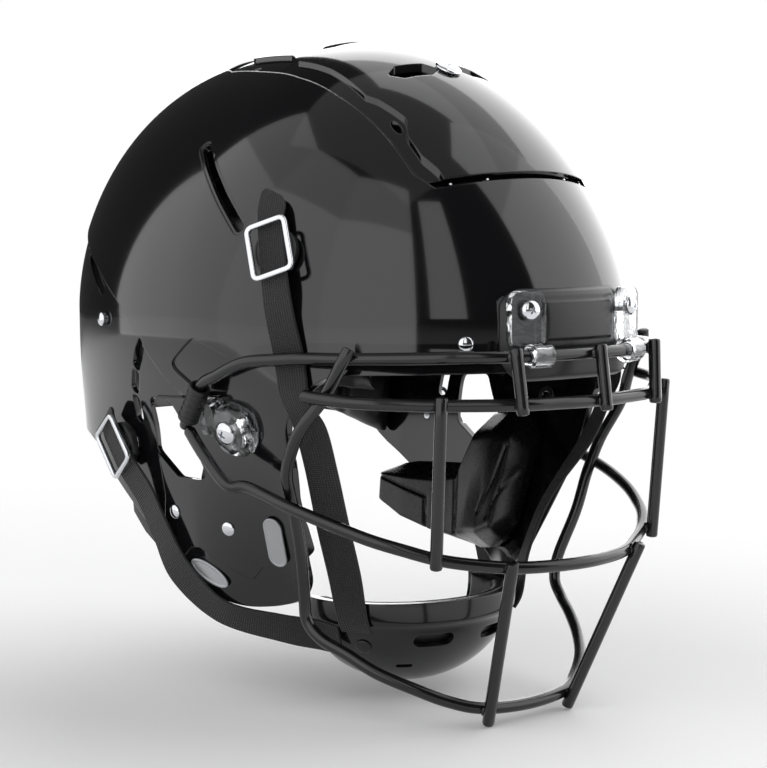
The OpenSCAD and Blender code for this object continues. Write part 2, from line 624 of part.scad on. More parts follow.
// Pads: closed cushions that follow the inside of the shell, crowned, with channels
function channel(u, c) = c == 0 ? 1 : 1 - 0.45 * max([for (k = [1:c]) exp(-pow((u - k / (c + 1)) * 16, 2))]);
function cushion(u, v, cu, cv) = (0.32 + 0.68 * pow(1 - pow(abs(2 * u - 1), 5), 0.6)
    * pow(1 - pow(abs(2 * v - 1), 5), 0.6)) * channel(u, cu) * channel(v, cv);
function side_pull(v) = 0.07 * pow(2 * v - 1, 2);
seat = -wall - pad_gap;
front_seat = -wall - nut_gap - nut_t - 0.6;
seat_plate = -recess - wall - pad_gap;

// Pad between two angles about the vertical and two levels
module ring_pad(a, z, t, n, m, cu, cv, from = seat) {
    grid = function (o, k) [for (i = [0:m]) [for (j = [0:n]) let (
            u = j / n, v = i / m, w = u + (0.5 - u) * side_pull(v) * k,
            h = cushion(u, v, cu, cv))
        skin_point(mix(a[0], a[1], w), mix(z[0], z[1], v), o - k * t * h)]];
    between(grid(from, 1), grid(from, 0));
}
module top_pad(x, y, t, n, m, cu, cv) {
    grid = function (k) [for (i = [0:m]) [for (j = [0:n]) let (
            u = j / n, v = i / m, h = cushion(u, v, cu, cv), o = seat_plate - k * t * h,
            px = mix(x[0], x[1], u), py = mix(y[0], y[1], v) )
        [px, py, top_z(px, py, o)]]];
    between(grid(1), grid(0));
}
front_pad_t = pad_t - 6;
front_pad_z = [brow_z + 1, recess_front_z - 19];
side_pad_z = [mid_z - 31, mid_z + 49];
rear_pad_z = [mid_z - 7, mid_z + 59];
nape_pad_z = [rear_z[0] - 2, rear_pad_z[0] - 6];
crown_pad_x = recess_half_w - 14;
crown_pad_y = [-48, recess_back + 2];
module front_pad() {
    color(black_soft) placed() ring_pad([-122, -58], front_pad_z, front_pad_t, 16, 8, 2, 0, front_seat);
}
module crown_pad() {
    color(black_soft) placed() top_pad([-crown_pad_x, crown_pad_x], crown_pad_y, pad_t, 12, 14, 1, 3);
}
module side_pad() { ring_pad([-47, 42], side_pad_z, pad_t, 16, 10, 3, 1); }
module side_pad_left() { color(black_soft) placed() side_pad(); }
module side_pad_right() { color(black_soft) placed() mirror([1, 0, 0]) side_pad(); }
module rear_pad() { color(black_soft) placed() ring_pad([50, 130], rear_pad_z, pad_t, 16, 8, 2, 1); }
module nape_pad() { color(black_soft) placed() ring_pad([56, 124], nape_pad_z, pad_t, 12, 6, 2, 0); }

// Jaw pad: a faceted block inside the flap. Its tall front stands beside the cheek, and its
// low rear part is thicker and hangs a little below the edge of the shell. Each station is
// y, lower level, upper level and thickness as a share of the whole
jaw_stations = [
    [-38, 74, 118, 0.5], [-33, 66, 128, 0.66], [-20, 60, 131, 0.74], [-7, 58, 128, 0.76],
    [4, 59, 102, 0.8], [20, 62, 99, 0.9], [38, 68, 98, 1], [54, 77, 97, 1], [64, 86, 95, 0.9]];
function bevel(u) = min(1, 0.3 + 5 * min(u, 1 - u));
module jaw_pad() {
    n = len(jaw_stations) - 1;
    m = 8;
    grid = function (k) [for (i = [0:m]) [for (j = [0:n]) let (
            s = jaw_stations[j], v = i / m, z = mix(s[1], s[2], v),
            t = jaw_pad_t * s[3] * bevel(v) * (j == 0 || j == n ? 0.35 : 1),
            y = s[0] - 0.16 * k * t)
        [side_x(y, z, seat - 0.8 - k * t), y, z]]];
    between(grid(1), grid(0));
}
// Neck pad: closes the ring of pads between the nape and the jaw pad
neck_a = [27, 53];
neck_low = [mid_z - 78, mid_z - 56];
neck_high = mid_z - 36;
module neck_pad() {
    n = 8;
    m = 6;
    foot_z = function (u) mix(neck_low[0], neck_low[1], pow(u, 0.8));
    grid = function (k) [for (i = [0:m]) [for (j = [0:n]) let (
            u = j / n, v = i / m, h = cushion(u, v, 1, 0))
        skin_point(mix(neck_a[0], neck_a[1], u), mix(foot_z(u), neck_high, v), seat - k * pad_t * h)]];
    between(grid(1), grid(0));
}
module neck_pad_left() { color(black_soft) placed() neck_pad(); }
module neck_pad_right() { color(black_soft) placed() mirror([1, 0, 0]) neck_pad(); }
module jaw_pad_left() { color(black_soft) placed() jaw_pad(); }
module jaw_pad_right() { color(black_soft) placed() mirror([1, 0, 0]) jaw_pad(); }
rivet_pos = [[-18, 87], [17, 92]];
brow_rivet = [53, 178];
rear_rivet = [62, 183];
module rivet(drop = 0) {
    translate([0, 0, 0.15 - drop]) cylinder(d = 7, h = 1.5);
    translate([0, 0, -wall - 0.1]) cylinder(d = shank_d, h = wall + 0.2 - drop);
}
module jaw_pad_snaps() { color(chrome) placed() pair() for (p = rivet_pos) on_side(p[0], p[1], 0) rivet(); }
module shell_rivets() {
    color(chrome) placed() pair() {
        on_front(brow_rivet[0], brow_rivet[1], 0) rivet();
        on_side(rear_rivet[0], rear_rivet[1], 0) rivet(panel_step);
    }
}

// Blank plates on the jaw flaps: a capsule and an oval
plate_t = 0.9;
module side_badges() {
    color(silver) placed() pair() {
        on_side(-42, 83, 1) rotate(capsule_turn) {
            hull() for (u = [-8, 8]) translate([u, 0, 0]) cylinder(d = 10, h = plate_t);
            translate([-11, -1.5, 0]) cube([22, 3, plate_t]);
        }
        on_side(-3, 64, 0.35 - pocket_d) rotate(oval_turn) scale([11.5, 4.5, 1]) cylinder(r = 1, h = plate_t);
    }
}
capsule_turn = 4;
oval_turn = -63;

// Chin cup: an oval bowl, open above and behind
cup_c = [0, -39, 49];
function cup_point(a, e, o, lip) = let (
        b = o + lip * smooth((e + 14) / 5))
    cup_c + [(cup_half_w + b) * sin(a) * cos(e), -(cup_depth + b) * cos(a) * cos(e), (cup_h + o) * sin(e)];
module bowl(o_in, o_out, lip, span, n, m) {
    grid = function (o, l) [for (i = [0:m]) [for (j = [0:n])
        cup_point(mix(-span, span, j / n), mix(4, -78, pow(i / m, 1.25)), o, l)]];
    between(grid(o_in, 0), grid(o_out, lip));
}
module chin_cup() {
    color(black_gloss) placed() difference() {
        bowl(-cup_wall, 0, 2, 104, 24, 12);
        pair() for (q = anchors) aim(cup_point(q[0], q[1], 0, 0), cup_dir(q[0], q[1]))
            translate([0, 0, -6]) cylinder(d = 4.4, h = 12);
        pair() for (q = cup_vents) hull() for (u = [-q[2], q[2]])
            aim(cup_point(q[0] + u, q[1], 0, 0), cup_dir(q[0] + u, q[1]))
                translate([0, 0, -6]) cylinder(d = q[3], h = 12, $fn = 12);
    }
}
cup_vents = [[22, -22, 8, 7], [40, -44, 4, 3]];
module chin_cup_liner() { color(black_soft) placed() bowl(-cup_wall - 8, -cup_wall - 0.4, 0, 98, 16, 8); }
anchors = [[64, -26], [86, -34]];
module cup_rivets() {
    color(black_satin) placed() pair() for (q = anchors)
        aim(cup_point(q[0], q[1], 0, 0), cup_dir(q[0], q[1])) {
            translate([0, 0, 0.1]) cylinder(d = 8, h = 1.4);
            translate([0, 0, -cup_wall + 0.2]) cylinder(d = 4, h = cup_wall);
        }
}

// Snaps. Each place is y and z on the side; the turn sets the way of the strap
upper_snap = [-62, 217];
lower_snap = [52, 122];
upper_turn = 160;
lower_turn = 142;
stud_d = 9;
module at_upper_snap() { on_side(upper_snap[0], upper_snap[1], 0) rotate(upper_turn) children(); }
module at_lower_snap() { on_side(lower_snap[0], lower_snap[1], 0) rotate(lower_turn) children(); }
module snap_studs() {
    color(chrome) placed() pair() for (s = [[upper_snap, 0], [lower_snap, panel_step]])
        on_side(s[0][0], s[0][1], -s[1]) {
            translate([0, 0, 0.1]) cylinder(d = 13, h = 0.8);
            translate([0, 0, -wall - 0.1 + s[1]]) cylinder(d = shank_d, h = wall + 0.3 - s[1]);
            translate([0, 0, 0.8]) cylinder(d = stud_d - 2, h = 2.6 + s[1]);
        }
}
hinge_x = -frame_l / 2 - 1.2;
frame_z = cap_lift + cap_h + strap_t + 1.4;
module cap_body() {
    difference() {
        union() {
            translate([0, 0, cap_lift]) cylinder(d = cap_d, h = cap_h);
            translate([hinge_x + 2.6, -strap_w / 2 + 1, cap_lift]) cube([-hinge_x, strap_w - 2, 2]);
        }
        translate([0, 0, cap_lift - 0.1]) cylinder(d = stud_d - 1.8, h = 3);
    }
}
module frame_body() {
    w = strap_w / 2 + 0.4;
    l = frame_l / 2;
    b = 2;
    c = 2.5;
    translate([0, 0, frame_z]) linear_extrude(frame_t) difference() {
        polygon([[-l - b + c, -w - b], [l + b - c, -w - b], [l + b, -w - b + c], [l + b, w + b - c],
            [l + b - c, w + b], [-l - b + c, w + b], [-l - b, w + b - c], [-l - b, -w - b + c]]);
        polygon([[-l + c / 2, -w], [l - c / 2, -w], [l, -w + c / 2], [l, w - c / 2],
            [l - c / 2, w], [-l + c / 2, w], [-l, w - c / 2], [-l, -w + c / 2]]);
    }
}
module upper_cap_left() { color(black_satin) placed() at_upper_snap() cap_body(); }
module upper_cap_right() { color(black_satin) placed() mirror([1, 0, 0]) at_upper_snap() cap_body(); }
module lower_cap_left() { color(black_satin) placed() at_lower_snap() cap_body(); }
module lower_cap_right() { color(black_satin) placed() mirror([1, 0, 0]) at_lower_snap() cap_body(); }
module upper_frame_left() { color(chrome) placed() at_upper_snap() frame_body(); }
module upper_frame_right() { color(chrome) placed() mirror([1, 0, 0]) at_upper_snap() frame_body(); }
module lower_frame_left() { color(chrome) placed() at_lower_snap() frame_body(); }
module lower_frame_right() { color(chrome) placed() mirror([1, 0, 0]) at_lower_snap() frame_body(); }

// Straps: each station is a middle point and a direction across the webbing
function over_side(y, z, o) = [side_x(y, z, 0), y, z] + o * side_dir(y, z);
function on_shell(y, z, o, d) = [over_side(y, z, o), side_tangent(y, z, unit(d))];
function cup_dir(a, e) = unit([sin(a) * cos(e) / cup_half_w, -cos(a) * cos(e) / cup_depth, sin(e) / cup_h]);
function on_cup(a, e, o) = [cup_point(a, e, 0, 0) + o * cup_dir(a, e), [-cos(a), -sin(a), 0]];
function edge(stations, s) = [for (q = stations) q[0] + s * unit(q[1]) * strap_w / 2];
module strap(stations) {
    ribbon(spline(edge(stations, -1), 3), spline(edge(stations, 1), 3), strap_t);
}
upper_across = [-0.94, -0.34];
upper_stations = [
    on_shell(-51.5, 243, 3, upper_across),
    on_shell(-56.5, 231, strap_lift, upper_across),
    on_shell(-62, 217, strap_lift, upper_across),
    on_shell(-66.5, 204, strap_lift, upper_across),
    on_shell(-69, 190, 3.4, [-0.98, -0.2]),
    on_shell(-72, 175, free_lift, [-1, -0.1]),
    on_shell(-75, 164, free_lift, [-1, -0.1]),
    on_shell(-77.5, 153, free_lift, [-1, -0.1]),
    [[cheek_w - 9, -79.5, 140], [-0.5, -1, 0]],
    [[cheek_w - 18.5, -76, 120], [-0.5, -1, 0]],
    [[cup_half_w + 15, -65, 91], [-0.62, -1, 0.2]],
    [[cup_half_w + 4.5, -61, 66], [-0.7, -1, 0.05]],
    on_cup(66, -4, 4.4), on_cup(65, -14, 1.8)];
lower_across = [0.79, -0.61];
lower_stations = [
    on_shell(65, 137, 3, lower_across),
    on_shell(59, 131, strap_lift, lower_across),
    on_shell(52, 122, strap_lift, lower_across),
    on_shell(44, 112, strap_lift, lower_across),
    on_shell(35, 99, 4.2, lower_across),
    on_shell(25, 83, 4.2, [0.8, -0.6]),
    [[cheek_w - 5.5, 12, 63], [0.05, 0.78, -0.6]],
    [[cheek_w - 16, -6, 45.5], [-0.2, 0.65, -0.75]],
    [[cup_half_w + 15, -27, 38], [-0.3, 0.3, -0.95]],
    [cup_point(88, -16, 0, 0) + 5.5 * cup_dir(88, -16), [-0.25, 0, -1]],
    [cup_point(76, -20, 0, 0) + 3 * cup_dir(76, -20), [-0.35, 0.1, -1]]];
module upper_strap_left() { color(black_satin) placed() strap(upper_stations); }
module upper_strap_right() { color(black_satin) placed() mirror([1, 0, 0]) strap(upper_stations); }
module lower_strap_left() { color(black_satin) placed() strap(lower_stations); }
module lower_strap_right() { color(black_satin) placed() mirror([1, 0, 0]) strap(lower_stations); }

shell();
crown_plate();
plate_cushions();
badge_screw();
plate_pins();
brow_bumper();
rear_bumper();
upper_brow_bar();
lower_brow_bar();
mouth_bar();
chin_bar();
brow_struts();
eye_guards();
chin_struts();
bar_sleeves();
brow_clip_left();
brow_clip_right();
brow_screws();
side_clip_left();
side_clip_right();
side_screws();
clip_nuts();
front_pad();
crown_pad();
side_pad_left();
side_pad_right();
rear_pad();
nape_pad();
neck_pad_left();
neck_pad_right();
jaw_pad_left();
jaw_pad_right();
jaw_pad_snaps();
chin_cup();
chin_cup_liner();
cup_rivets();
upper_strap_left();
upper_strap_right();
lower_strap_left();
lower_strap_right();
snap_studs();
upper_cap_left();
upper_cap_right();
lower_cap_left();
lower_cap_right();
upper_frame_left();
upper_frame_right();
lower_frame_left();
lower_frame_right();
shell_rivets();
side_badges();
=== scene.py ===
"""Looks of a gridiron football helmet, dressed over its packed construction.

Lengths are millimetres in the helmet's own frame: +Z is up, the wearer faces -Y
and +X is the wearer's left. Pieces are turned to metres when they settle.
"""

import math

import bmesh
import bpy
import numpy as np
from mathutils import Matrix, Vector


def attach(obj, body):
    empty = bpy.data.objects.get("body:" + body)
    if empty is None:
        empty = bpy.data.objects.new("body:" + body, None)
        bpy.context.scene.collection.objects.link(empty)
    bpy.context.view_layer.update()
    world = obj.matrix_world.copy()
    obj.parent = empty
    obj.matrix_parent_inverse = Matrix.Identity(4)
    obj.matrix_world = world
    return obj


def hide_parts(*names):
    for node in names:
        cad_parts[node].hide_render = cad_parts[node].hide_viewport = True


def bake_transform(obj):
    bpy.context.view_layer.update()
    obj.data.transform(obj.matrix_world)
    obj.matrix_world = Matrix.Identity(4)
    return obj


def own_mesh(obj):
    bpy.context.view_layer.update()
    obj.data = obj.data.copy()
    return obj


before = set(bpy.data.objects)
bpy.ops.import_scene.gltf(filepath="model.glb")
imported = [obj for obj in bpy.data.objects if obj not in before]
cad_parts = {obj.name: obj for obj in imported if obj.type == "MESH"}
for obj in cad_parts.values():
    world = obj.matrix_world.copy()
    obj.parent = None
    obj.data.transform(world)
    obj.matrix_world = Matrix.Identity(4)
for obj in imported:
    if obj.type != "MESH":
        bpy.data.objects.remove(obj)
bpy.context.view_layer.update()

# Sizes shared with the construction
SHELL_W, SHELL_FRONT, SHELL_BACK, CROWN_H, MID_Z = 232, 150, 162, 130, 187
WALL, SIDE_INSET, BROW_Z, PANEL_STEP, POCKET = 4, 10, 164, 1.5, 1.1
RECESS_HALF_W, RECESS, RECESS_BACK, RECESS_FRONT_Z = 54, 4.5, 64, 247
FLANGE_T, PLATE_FLOAT, PLATE_GAP, FRONT_SLOT, PANEL_TOP = 1.4, 1.9, 1.2, 3.6, 1.2
BAR_D, BROW_GAP, UPPER_Z, LOWER_Z, MOUTH_Z, CHIN_Z, LOWER_REACH = 5.7, 7, 173, 152, 78, 7, 4
STRAP_W, STRAP_T, CAP_D, CAP_H, FRAME_L, FRAME_T = 16, 1.6, 22, 4.2, 22.5, 2.4
CUP_HALF_W, CUP_DEPTH, CUP_H, CUP_WALL = 56, 46, 43, 3
PAD_T, FRONT_PAD_T, JAW_PAD_T, PAD_GAP, BUMPER_T = 20, 14, 36, 0.7, 4.5
BAR_R = BAR_D / 2
WELD = 0.45
STEP = BAR_D - WELD
REAR_Z, REAR_T = (MID_Z - 51, MID_Z - 35), 2.6


# Form of the shell: each level is a superellipse, drawn in at the ears and tucked in at the jaw
def clamp(v):
    return np.clip(v, 0.0, 1.0)


def smooth(v):
    c = clamp(v)
    return c * c * (3 - 2 * c)


def mix(a, b, t):
    return a + (b - a) * t


def unit(v):
    v = np.asarray(v, float)
    return v / np.maximum(np.linalg.norm(v, axis=-1, keepdims=True), 1e-12)


def rise(z, o):
    return clamp((z - MID_Z) / (CROWN_H + o))


def drop(z):
    return np.maximum(0, (MID_Z - z) / 135)


def low(z):
    return smooth((MID_Z - 9 - z) / 50)


def half_w(z, o):
    return (SHELL_W / 2 + o) * (1 - rise(z, o) ** 1.6) ** 0.5 * (1 - 0.1 * drop(z) ** 2) - SIDE_INSET * low(z)


def reach(z, o, front):
    ahead = (SHELL_FRONT + o) * (1 - rise(z, o) ** 1.55) ** 0.48 * (1 - 0.1 * drop(z) ** 2)
    behind = (SHELL_BACK + o) * (1 - rise(z, o) ** 2.4) ** 0.38 * (1 - 0.025 * drop(z) ** 1.6)
    return np.where(front, ahead, behind)


def power(z, front):
    return np.where(front, mix(2.03, 3.2, low(z)), mix(2.3, 2.65, low(z)))


def tuck(x, y, z):
    return (21 * (clamp((137 - z) / 102.2) * 1.4) ** 1.25 * smooth((5 - y) / 60)
            * smooth(np.abs(x) / 70))


def skin_point(a, z, o):
    """Point on the form at angle a (degrees) about the vertical and level z, o outside it."""
    a, z = np.broadcast_arrays(np.radians(a), np.asarray(z, float))
    front = np.sin(a) < 0
    n = power(z, front)
    k = (np.abs(np.cos(a)) ** n + np.abs(np.sin(a)) ** n) ** (-1 / n)
    x = half_w(z, o) * np.cos(a) * k
    y = reach(z, o, front) * np.sin(a) * k
    return np.stack([x - np.sign(x) * tuck(x, y, z), y, z], -1)


def side_x(y, z, o=0.0):
    y, z = np.asarray(y, float), np.asarray(z, float)
    n, r = power(z, y < 0), reach(z, o, y < 0)
    x = half_w(z, o) * np.maximum(0, 1 - np.abs(y / r) ** n) ** (1 / n)
    return x - tuck(x, y, z)


def end_y(x, z, o=0.0, front=True):
    n = power(z, front)
    s = np.maximum(0, 1 - np.abs(x / half_w(z, o)) ** n) ** (1 / n)
    return (-1 if front else 1) * reach(z, o, front) * s


def level_value(p, o=0.0):
    x, y, z = np.abs(p[..., 0]), p[..., 1], p[..., 2]
    n = power(z, y < 0)
    x = x + tuck(x, y, z)
    return ((x / np.maximum(half_w(z, o), 0.01)) ** n
            + (np.abs(y) / np.maximum(reach(z, o, y < 0), 0.01)) ** n)


def top_z(x, y, o=0.0):
    x, y, o = np.broadcast_arrays(*(np.asarray(v, float) for v in (x, y, o)))
    lo, hi = np.full(x.shape, float(MID_Z)), MID_Z + CROWN_H + o
    for _ in range(26):
        mid = (lo + hi) / 2
        out = level_value(np.stack([x, y, mid], -1), o) > 1
        hi, lo = np.where(out, mid, hi), np.where(out, lo, mid)
    return (lo + hi) / 2


def shell_normal(p):
    """Outward direction of the form at points near it."""
    p = np.asarray(p, float)
    q = p.copy()
    q[..., 2] = np.minimum(q[..., 2], MID_Z + CROWN_H - 0.6)
    g = []
    for axis in range(3):
        d = np.zeros(3)
        d[axis] = 0.4
        g.append(level_value(q + d) - level_value(q - d))
    g = unit(np.stack(g, -1))
    g[p[..., 2] > MID_Z + CROWN_H - 1.5] = (0, 0, 1)
    return g


def side_dir(y, z):
    a = np.array([side_x(y + 2, z) - side_x(y - 2, z), 4, 0])
    b = np.array([side_x(y, z + 2) - side_x(y, z - 2), 0, 4])
    return unit(np.cross(a, b))


def side_tangent(y, z, d):
    d = np.asarray(d, float) / math.hypot(*d)
    return unit([side_x(y + 2 * d[0], z + 2 * d[1]) - side_x(y - 2 * d[0], z - 2 * d[1]), 4 * d[0], 4 * d[1]])


def over_side(y, z, o):
    return np.array([side_x(y, z), y, z]) + o * side_dir(y, z)


# The frame's origin lies under the middle of the helmet, from the foremost strut to the rear bumper
brow_y = float(end_y(0, MID_Z)) - BAR_R - BROW_GAP
low_y = brow_y - LOWER_REACH
SHIFT_Y = (STEP + BAR_R - low_y - float(end_y(0, REAR_Z[1], REAR_T, False))) / 2


# Materials
def srgb(code):
    c = [int(code[i:i + 2], 16) / 255 for i in (1, 3, 5)]
    return tuple(v / 12.92 if v <= 0.04045 else ((v + 0.055) / 1.055) ** 2.4 for v in c) + (1.0,)


def blank_tree(owner):
    owner.use_nodes = True
    owner.node_tree.nodes.clear()
    return owner.node_tree


def add(tree, kind, links=None, **settings):
    """One node, with its settings and its links as {socket: output socket}."""
    node = tree.nodes.new(kind)
    for key, value in settings.items():
        if key in node.inputs:
            node.inputs[key].default_value = value
        else:
            setattr(node, key, value)
    for socket, source in (links or {}).items():
        tree.links.new(source, node.inputs[socket])
    return node


CLOUDS_A_METRE = 22


def finish(name, slot, colour, roughness, metallic=0.0, ior=1.5, coat=0.0, grain=None, edge=0.0, speck=0.0,
           **extra):
    """Material; slot is not used. grain = its size and height in mm and its change of roughness."""
    m = bpy.data.materials.new(name)
    tree = blank_tree(m)
    out = add(tree, "ShaderNodeOutputMaterial")
    shader = add(tree, "ShaderNodeBsdfPrincipled")
    for key, value in {"Base Color": srgb(colour), "Roughness": roughness, "Metallic": metallic, "IOR": ior,
                       "Coat Weight": coat, "Coat Roughness": 0.03, **extra}.items():
        shader.inputs[key].default_value = value
    tree.links.new(shader.outputs[0], out.inputs[0])
    normal = None
    if edge:
        normal = add(tree, "ShaderNodeBevel", samples=6, Radius=edge / 1000).outputs[0]
    if grain:
        size, height, change = grain
        where = add(tree, "ShaderNodeTexCoord").outputs["Object"]
        noise = add(tree, "ShaderNodeTexNoise", {"Vector": where}, Scale=1000 / size / 2, Detail=3.0)
        links = {"Height": noise.outputs[0]}
        if normal:
            links["Normal"] = normal
        normal = add(tree, "ShaderNodeBump", links, Distance=height / 1000, Strength=1.0).outputs[0]
        if change:
            ends = {"To Min": max(0.02, roughness - change), "To Max": roughness + change}
            span = add(tree, "ShaderNodeMapRange", {"Value": noise.outputs[0]}, **ends)
            tree.links.new(span.outputs[0], shader.inputs["Roughness"])
    if speck:
        where = add(tree, "ShaderNodeTexCoord").outputs["Object"]
        broad = add(tree, "ShaderNodeTexNoise", {"Vector": where}, Scale=CLOUDS_A_METRE, Detail=2.0)
        ramp = add(tree, "ShaderNodeMix", {"Factor": broad.outputs[0]}, data_type="RGBA")
        base = srgb(colour)
        ramp.inputs[6].default_value = tuple(v * (1 - speck) for v in base[:3]) + (1.0,)
        ramp.inputs[7].default_value = tuple(min(1, v * (1 + speck)) for v in base[:3]) + (1.0,)
        tree.links.new(ramp.outputs[2], shader.inputs["Base Color"])
    if normal:
        tree.links.new(normal, shader.inputs["Normal"])
    return m


# Injection-moulded polycarbonate, polished: deep black with a faint waviness from moulding
shell_plastic = finish("black polished polycarbonate", "shell_gloss", "#0d0d0f", 0.09, coat=0.35,
                       grain=(14, 0.012, 0.02), edge=0.9, speck=0.1)
# The same polycarbonate from another tool, a little duller
cup_plastic = finish("black moulded chin cup plastic", "cup_gloss", "#101012", 0.16, coat=0.2,
                     grain=(6, 0.01, 0.03), edge=0.7, speck=0.1)
# Thermoplastic rubber with a matt moulded face
bumper_rubber = finish("black satin moulded rubber", "bumper_satin", "#131315", 0.38,
                       grain=(0.9, 0.03, 0.08), edge=0.6, speck=0.12)
# Powder coat over steel: thick, semi-gloss, with a fine orange peel
guard_coat = finish("black powder coat on steel", "guard_coating", "#0f0f11", 0.2, coat=0.2,
                    grain=(1.6, 0.02, 0.05), speck=0.12)
# Chromed steel hardware: bright, barely brushed
chrome = finish("polished chrome on steel", "hardware_chrome", "#dcdee2", 0.07, metallic=1.0,
                grain=(2.5, 0.004, 0.03), edge=0.25)
# Nylon snap caps, fine spark-eroded grain
nylon = finish("black moulded nylon", "cap_plastic", "#151517", 0.34,
               grain=(0.8, 0.02, 0.06), edge=0.5, speck=0.1)
# Vinyl-faced pads: soft sheen with a skin-like grain
pad_skin = finish("black vinyl pad skin", "pad_foam", "#161618", 0.4, grain=(1.4, 0.05, 0.08), speck=0.15)
# Firm jaw pads, moulded in rubber with a smooth face
jaw_rubber = finish("black moulded jaw pad rubber", "pad_foam", "#131315", 0.27,
                    grain=(1.8, 0.02, 0.06), edge=1.0, speck=0.12)
# Brushed light plate, blank
badge_metal = finish("satin light grey plate", "badge_silver", "#a9abae", 0.34, metallic=0.6,
                     grain=(0.7, 0.01, 0.06), edge=0.4)
# Clear moulded polycarbonate with a pebbled back that breaks up the light
clear_plastic = finish("clear pebbled polycarbonate", "clip_clear", "#f4f6f8", 0.07, ior=1.58,
                       grain=(3.2, 0.35, 0.02), **{"Transmission Weight": 1.0})


def webbing_material():
    """Woven polyester webbing: ribs across the strap, about 1.1 mm apart, drawn a little coarse. Its colour
    carries painted shade in the hollows of the weave and painted light on the ribs.
    """
    m = finish("black woven polyester webbing", "webbing", "#151517", 0.6,
               **{"Sheen Weight": 0.12, "Sheen Roughness": 0.4})
    tree = m.node_tree
    shader = [n for n in tree.nodes if n.type == "BSDF_PRINCIPLED"][0]
    uv = add(tree, "ShaderNodeTexCoord").outputs["UV"]
    heights = []
    for axis, pitch in (("X", 1.3), ("Y", 1.1)):
        heights.append(add(tree, "ShaderNodeTexWave", {"Vector": uv}, bands_direction=axis,
                           Scale=2 * math.pi / (20 * pitch), Distortion=0.3, Detail=1.0).outputs[1])
    both = add(tree, "ShaderNodeMath", {0: heights[0], 1: heights[1]}, operation="MULTIPLY").outputs[0]
    bump = add(tree, "ShaderNodeBump", {"Height": both}, Distance=0.0004, Strength=1.0).outputs[0]
    tree.links.new(bump, shader.inputs["Normal"])
    # Painted shade and painted light: the colour follows the height of the weave, darker in its hollows and
    # lighter on its ribs
    shade = add(tree, "ShaderNodeMix", {"Factor": both}, data_type="RGBA")
    shade.inputs[6].default_value = srgb("#0a0a0b")
    shade.inputs[7].default_value = srgb("#1b1b1d")
    tree.links.new(shade.outputs[2], shader.inputs["Base Color"])
    return m


webbing = webbing_material()


# Meshes
def raw(name, verts, faces):
    """Scratch object in millimetres, linked so that modifiers can use it."""
    me = bpy.data.meshes.new(name)
    me.from_pydata([tuple(map(float, v)) for v in verts], [], [tuple(map(int, f)) for f in faces])
    o = bpy.data.objects.new(name, me)
    bpy.context.scene.collection.objects.link(o)
    return o


def edit(o, change):
    """Mesh of the object after change, a function of its bmesh."""
    b = bmesh.new()
    b.from_mesh(o.data)
    change(b)
    b.to_mesh(o.data)
    b.free()
    return o


def face_out(b):
    bmesh.ops.recalc_face_normals(b, faces=b.faces)


def outward(o):
    return edit(o, face_out)


def bake(o):
    """The object's mesh becomes what its modifiers make of it."""
    dg = bpy.context.evaluated_depsgraph_get()
    made = bpy.data.meshes.new_from_object(o.evaluated_get(dg))
    o.modifiers.clear()
    old, o.data = o.data, made
    bpy.data.meshes.remove(old)
    return o


def combine(a, *others, operation="DIFFERENCE"):
    """a after the boolean with each of the others in turn, which are used up."""
    for b in others:
        m = a.modifiers.new("cut", "BOOLEAN")
        m.operation, m.object, m.solver = operation, b, "MANIFOLD"
        bake(a)
        used = b.data
        bpy.data.objects.remove(b)
        bpy.data.meshes.remove(used)
    return a


def listed(rows, key, width=1, kind=np.float32):
    """One attribute of every row as an array."""
    v = np.zeros(len(rows) * width, kind)
    rows.foreach_get(key, v)
    return v.reshape(-1, width).astype(float) if width > 1 else v


def coords(me):
    return listed(me.vertices, "co", 3)


def sharpen(o, angle=32):
    o.data.shade_smooth()
    o.data.set_sharp_from_angle(angle=math.radians(angle))
    return o


ALONG_SKIN = 0.94


def skin_shading(o):
    """Faces that lie along the shell's form take its exact normals, and the others keep theirs."""
    me = o.data
    sharpen(o, 30)
    corner = listed(me.corner_normals, "vector", 3)
    along = (listed(me.polygons, "normal", 3) * shell_normal(listed(me.polygons, "center", 3))).sum(1)
    along = np.repeat(along, listed(me.polygons, "loop_total", kind=np.int32))
    on_skin = np.abs(along) > ALONG_SKIN
    point_n = shell_normal(coords(me))[listed(me.loops, "vertex_index", kind=np.int32)]
    corner[on_skin] = point_n[on_skin] * np.sign(along[on_skin])[:, None]
    me.normals_split_custom_set([tuple(v) for v in corner])
    return o


def mirror(o):
    o.data.transform(Matrix.Scale(-1, 4, Vector((1, 0, 0))))
    o.data.flip_normals()
    return o


def to_metres(o):
    o.data.transform(Matrix.Translation(Vector((0, SHIFT_Y, 0))))
    o.data.transform(Matrix.Scale(0.001, 4))
    return o


def settle(o, name, material, body="helmet", nodes=None, shading="angle"):
    """Scratch object to finished piece. It stands for the node of its own name where none is given."""
    if shading == "skin":
        skin_shading(o)
    elif shading == "angle":
        sharpen(o)
    else:
        o.data.shade_smooth()
    to_metres(o)
    o.name = o.data.name = name
    o.data.materials.clear()
    o.data.materials.append(material)
    if body:
        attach(o, body)
    if nodes is None:
        nodes = [name]
    if nodes:
        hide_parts(*nodes)
    return o


def join(objects):
    """Several scratch objects as one."""
    verts, faces, n = [], [], 0
    for o in objects:
        me = o.data
        verts += [tuple(v.co) for v in me.vertices]
        faces += [tuple(n + i for i in p.vertices) for p in me.polygons]
        n += len(me.vertices)
        bpy.data.objects.remove(o)
        bpy.data.meshes.remove(me)
    return raw("joined", verts, faces)


def twin(o):
    """Mirrored copy, kept apart."""
    c = bpy.data.objects.new(o.name, o.data.copy())
    bpy.context.scene.collection.objects.link(c)
    return mirror(c)


def both_sides(o):
    return join([twin(o), o])


def settle_pair(o, name, material, body=None, shading="angle"):
    """Left piece and its mirrored twin. Each rides the body of its own side, or the helmet."""
    return [settle(piece, name + side, material, body + side if body else "helmet", None, shading)
            for side, piece in (("_left", o), ("_right", twin(o)))]


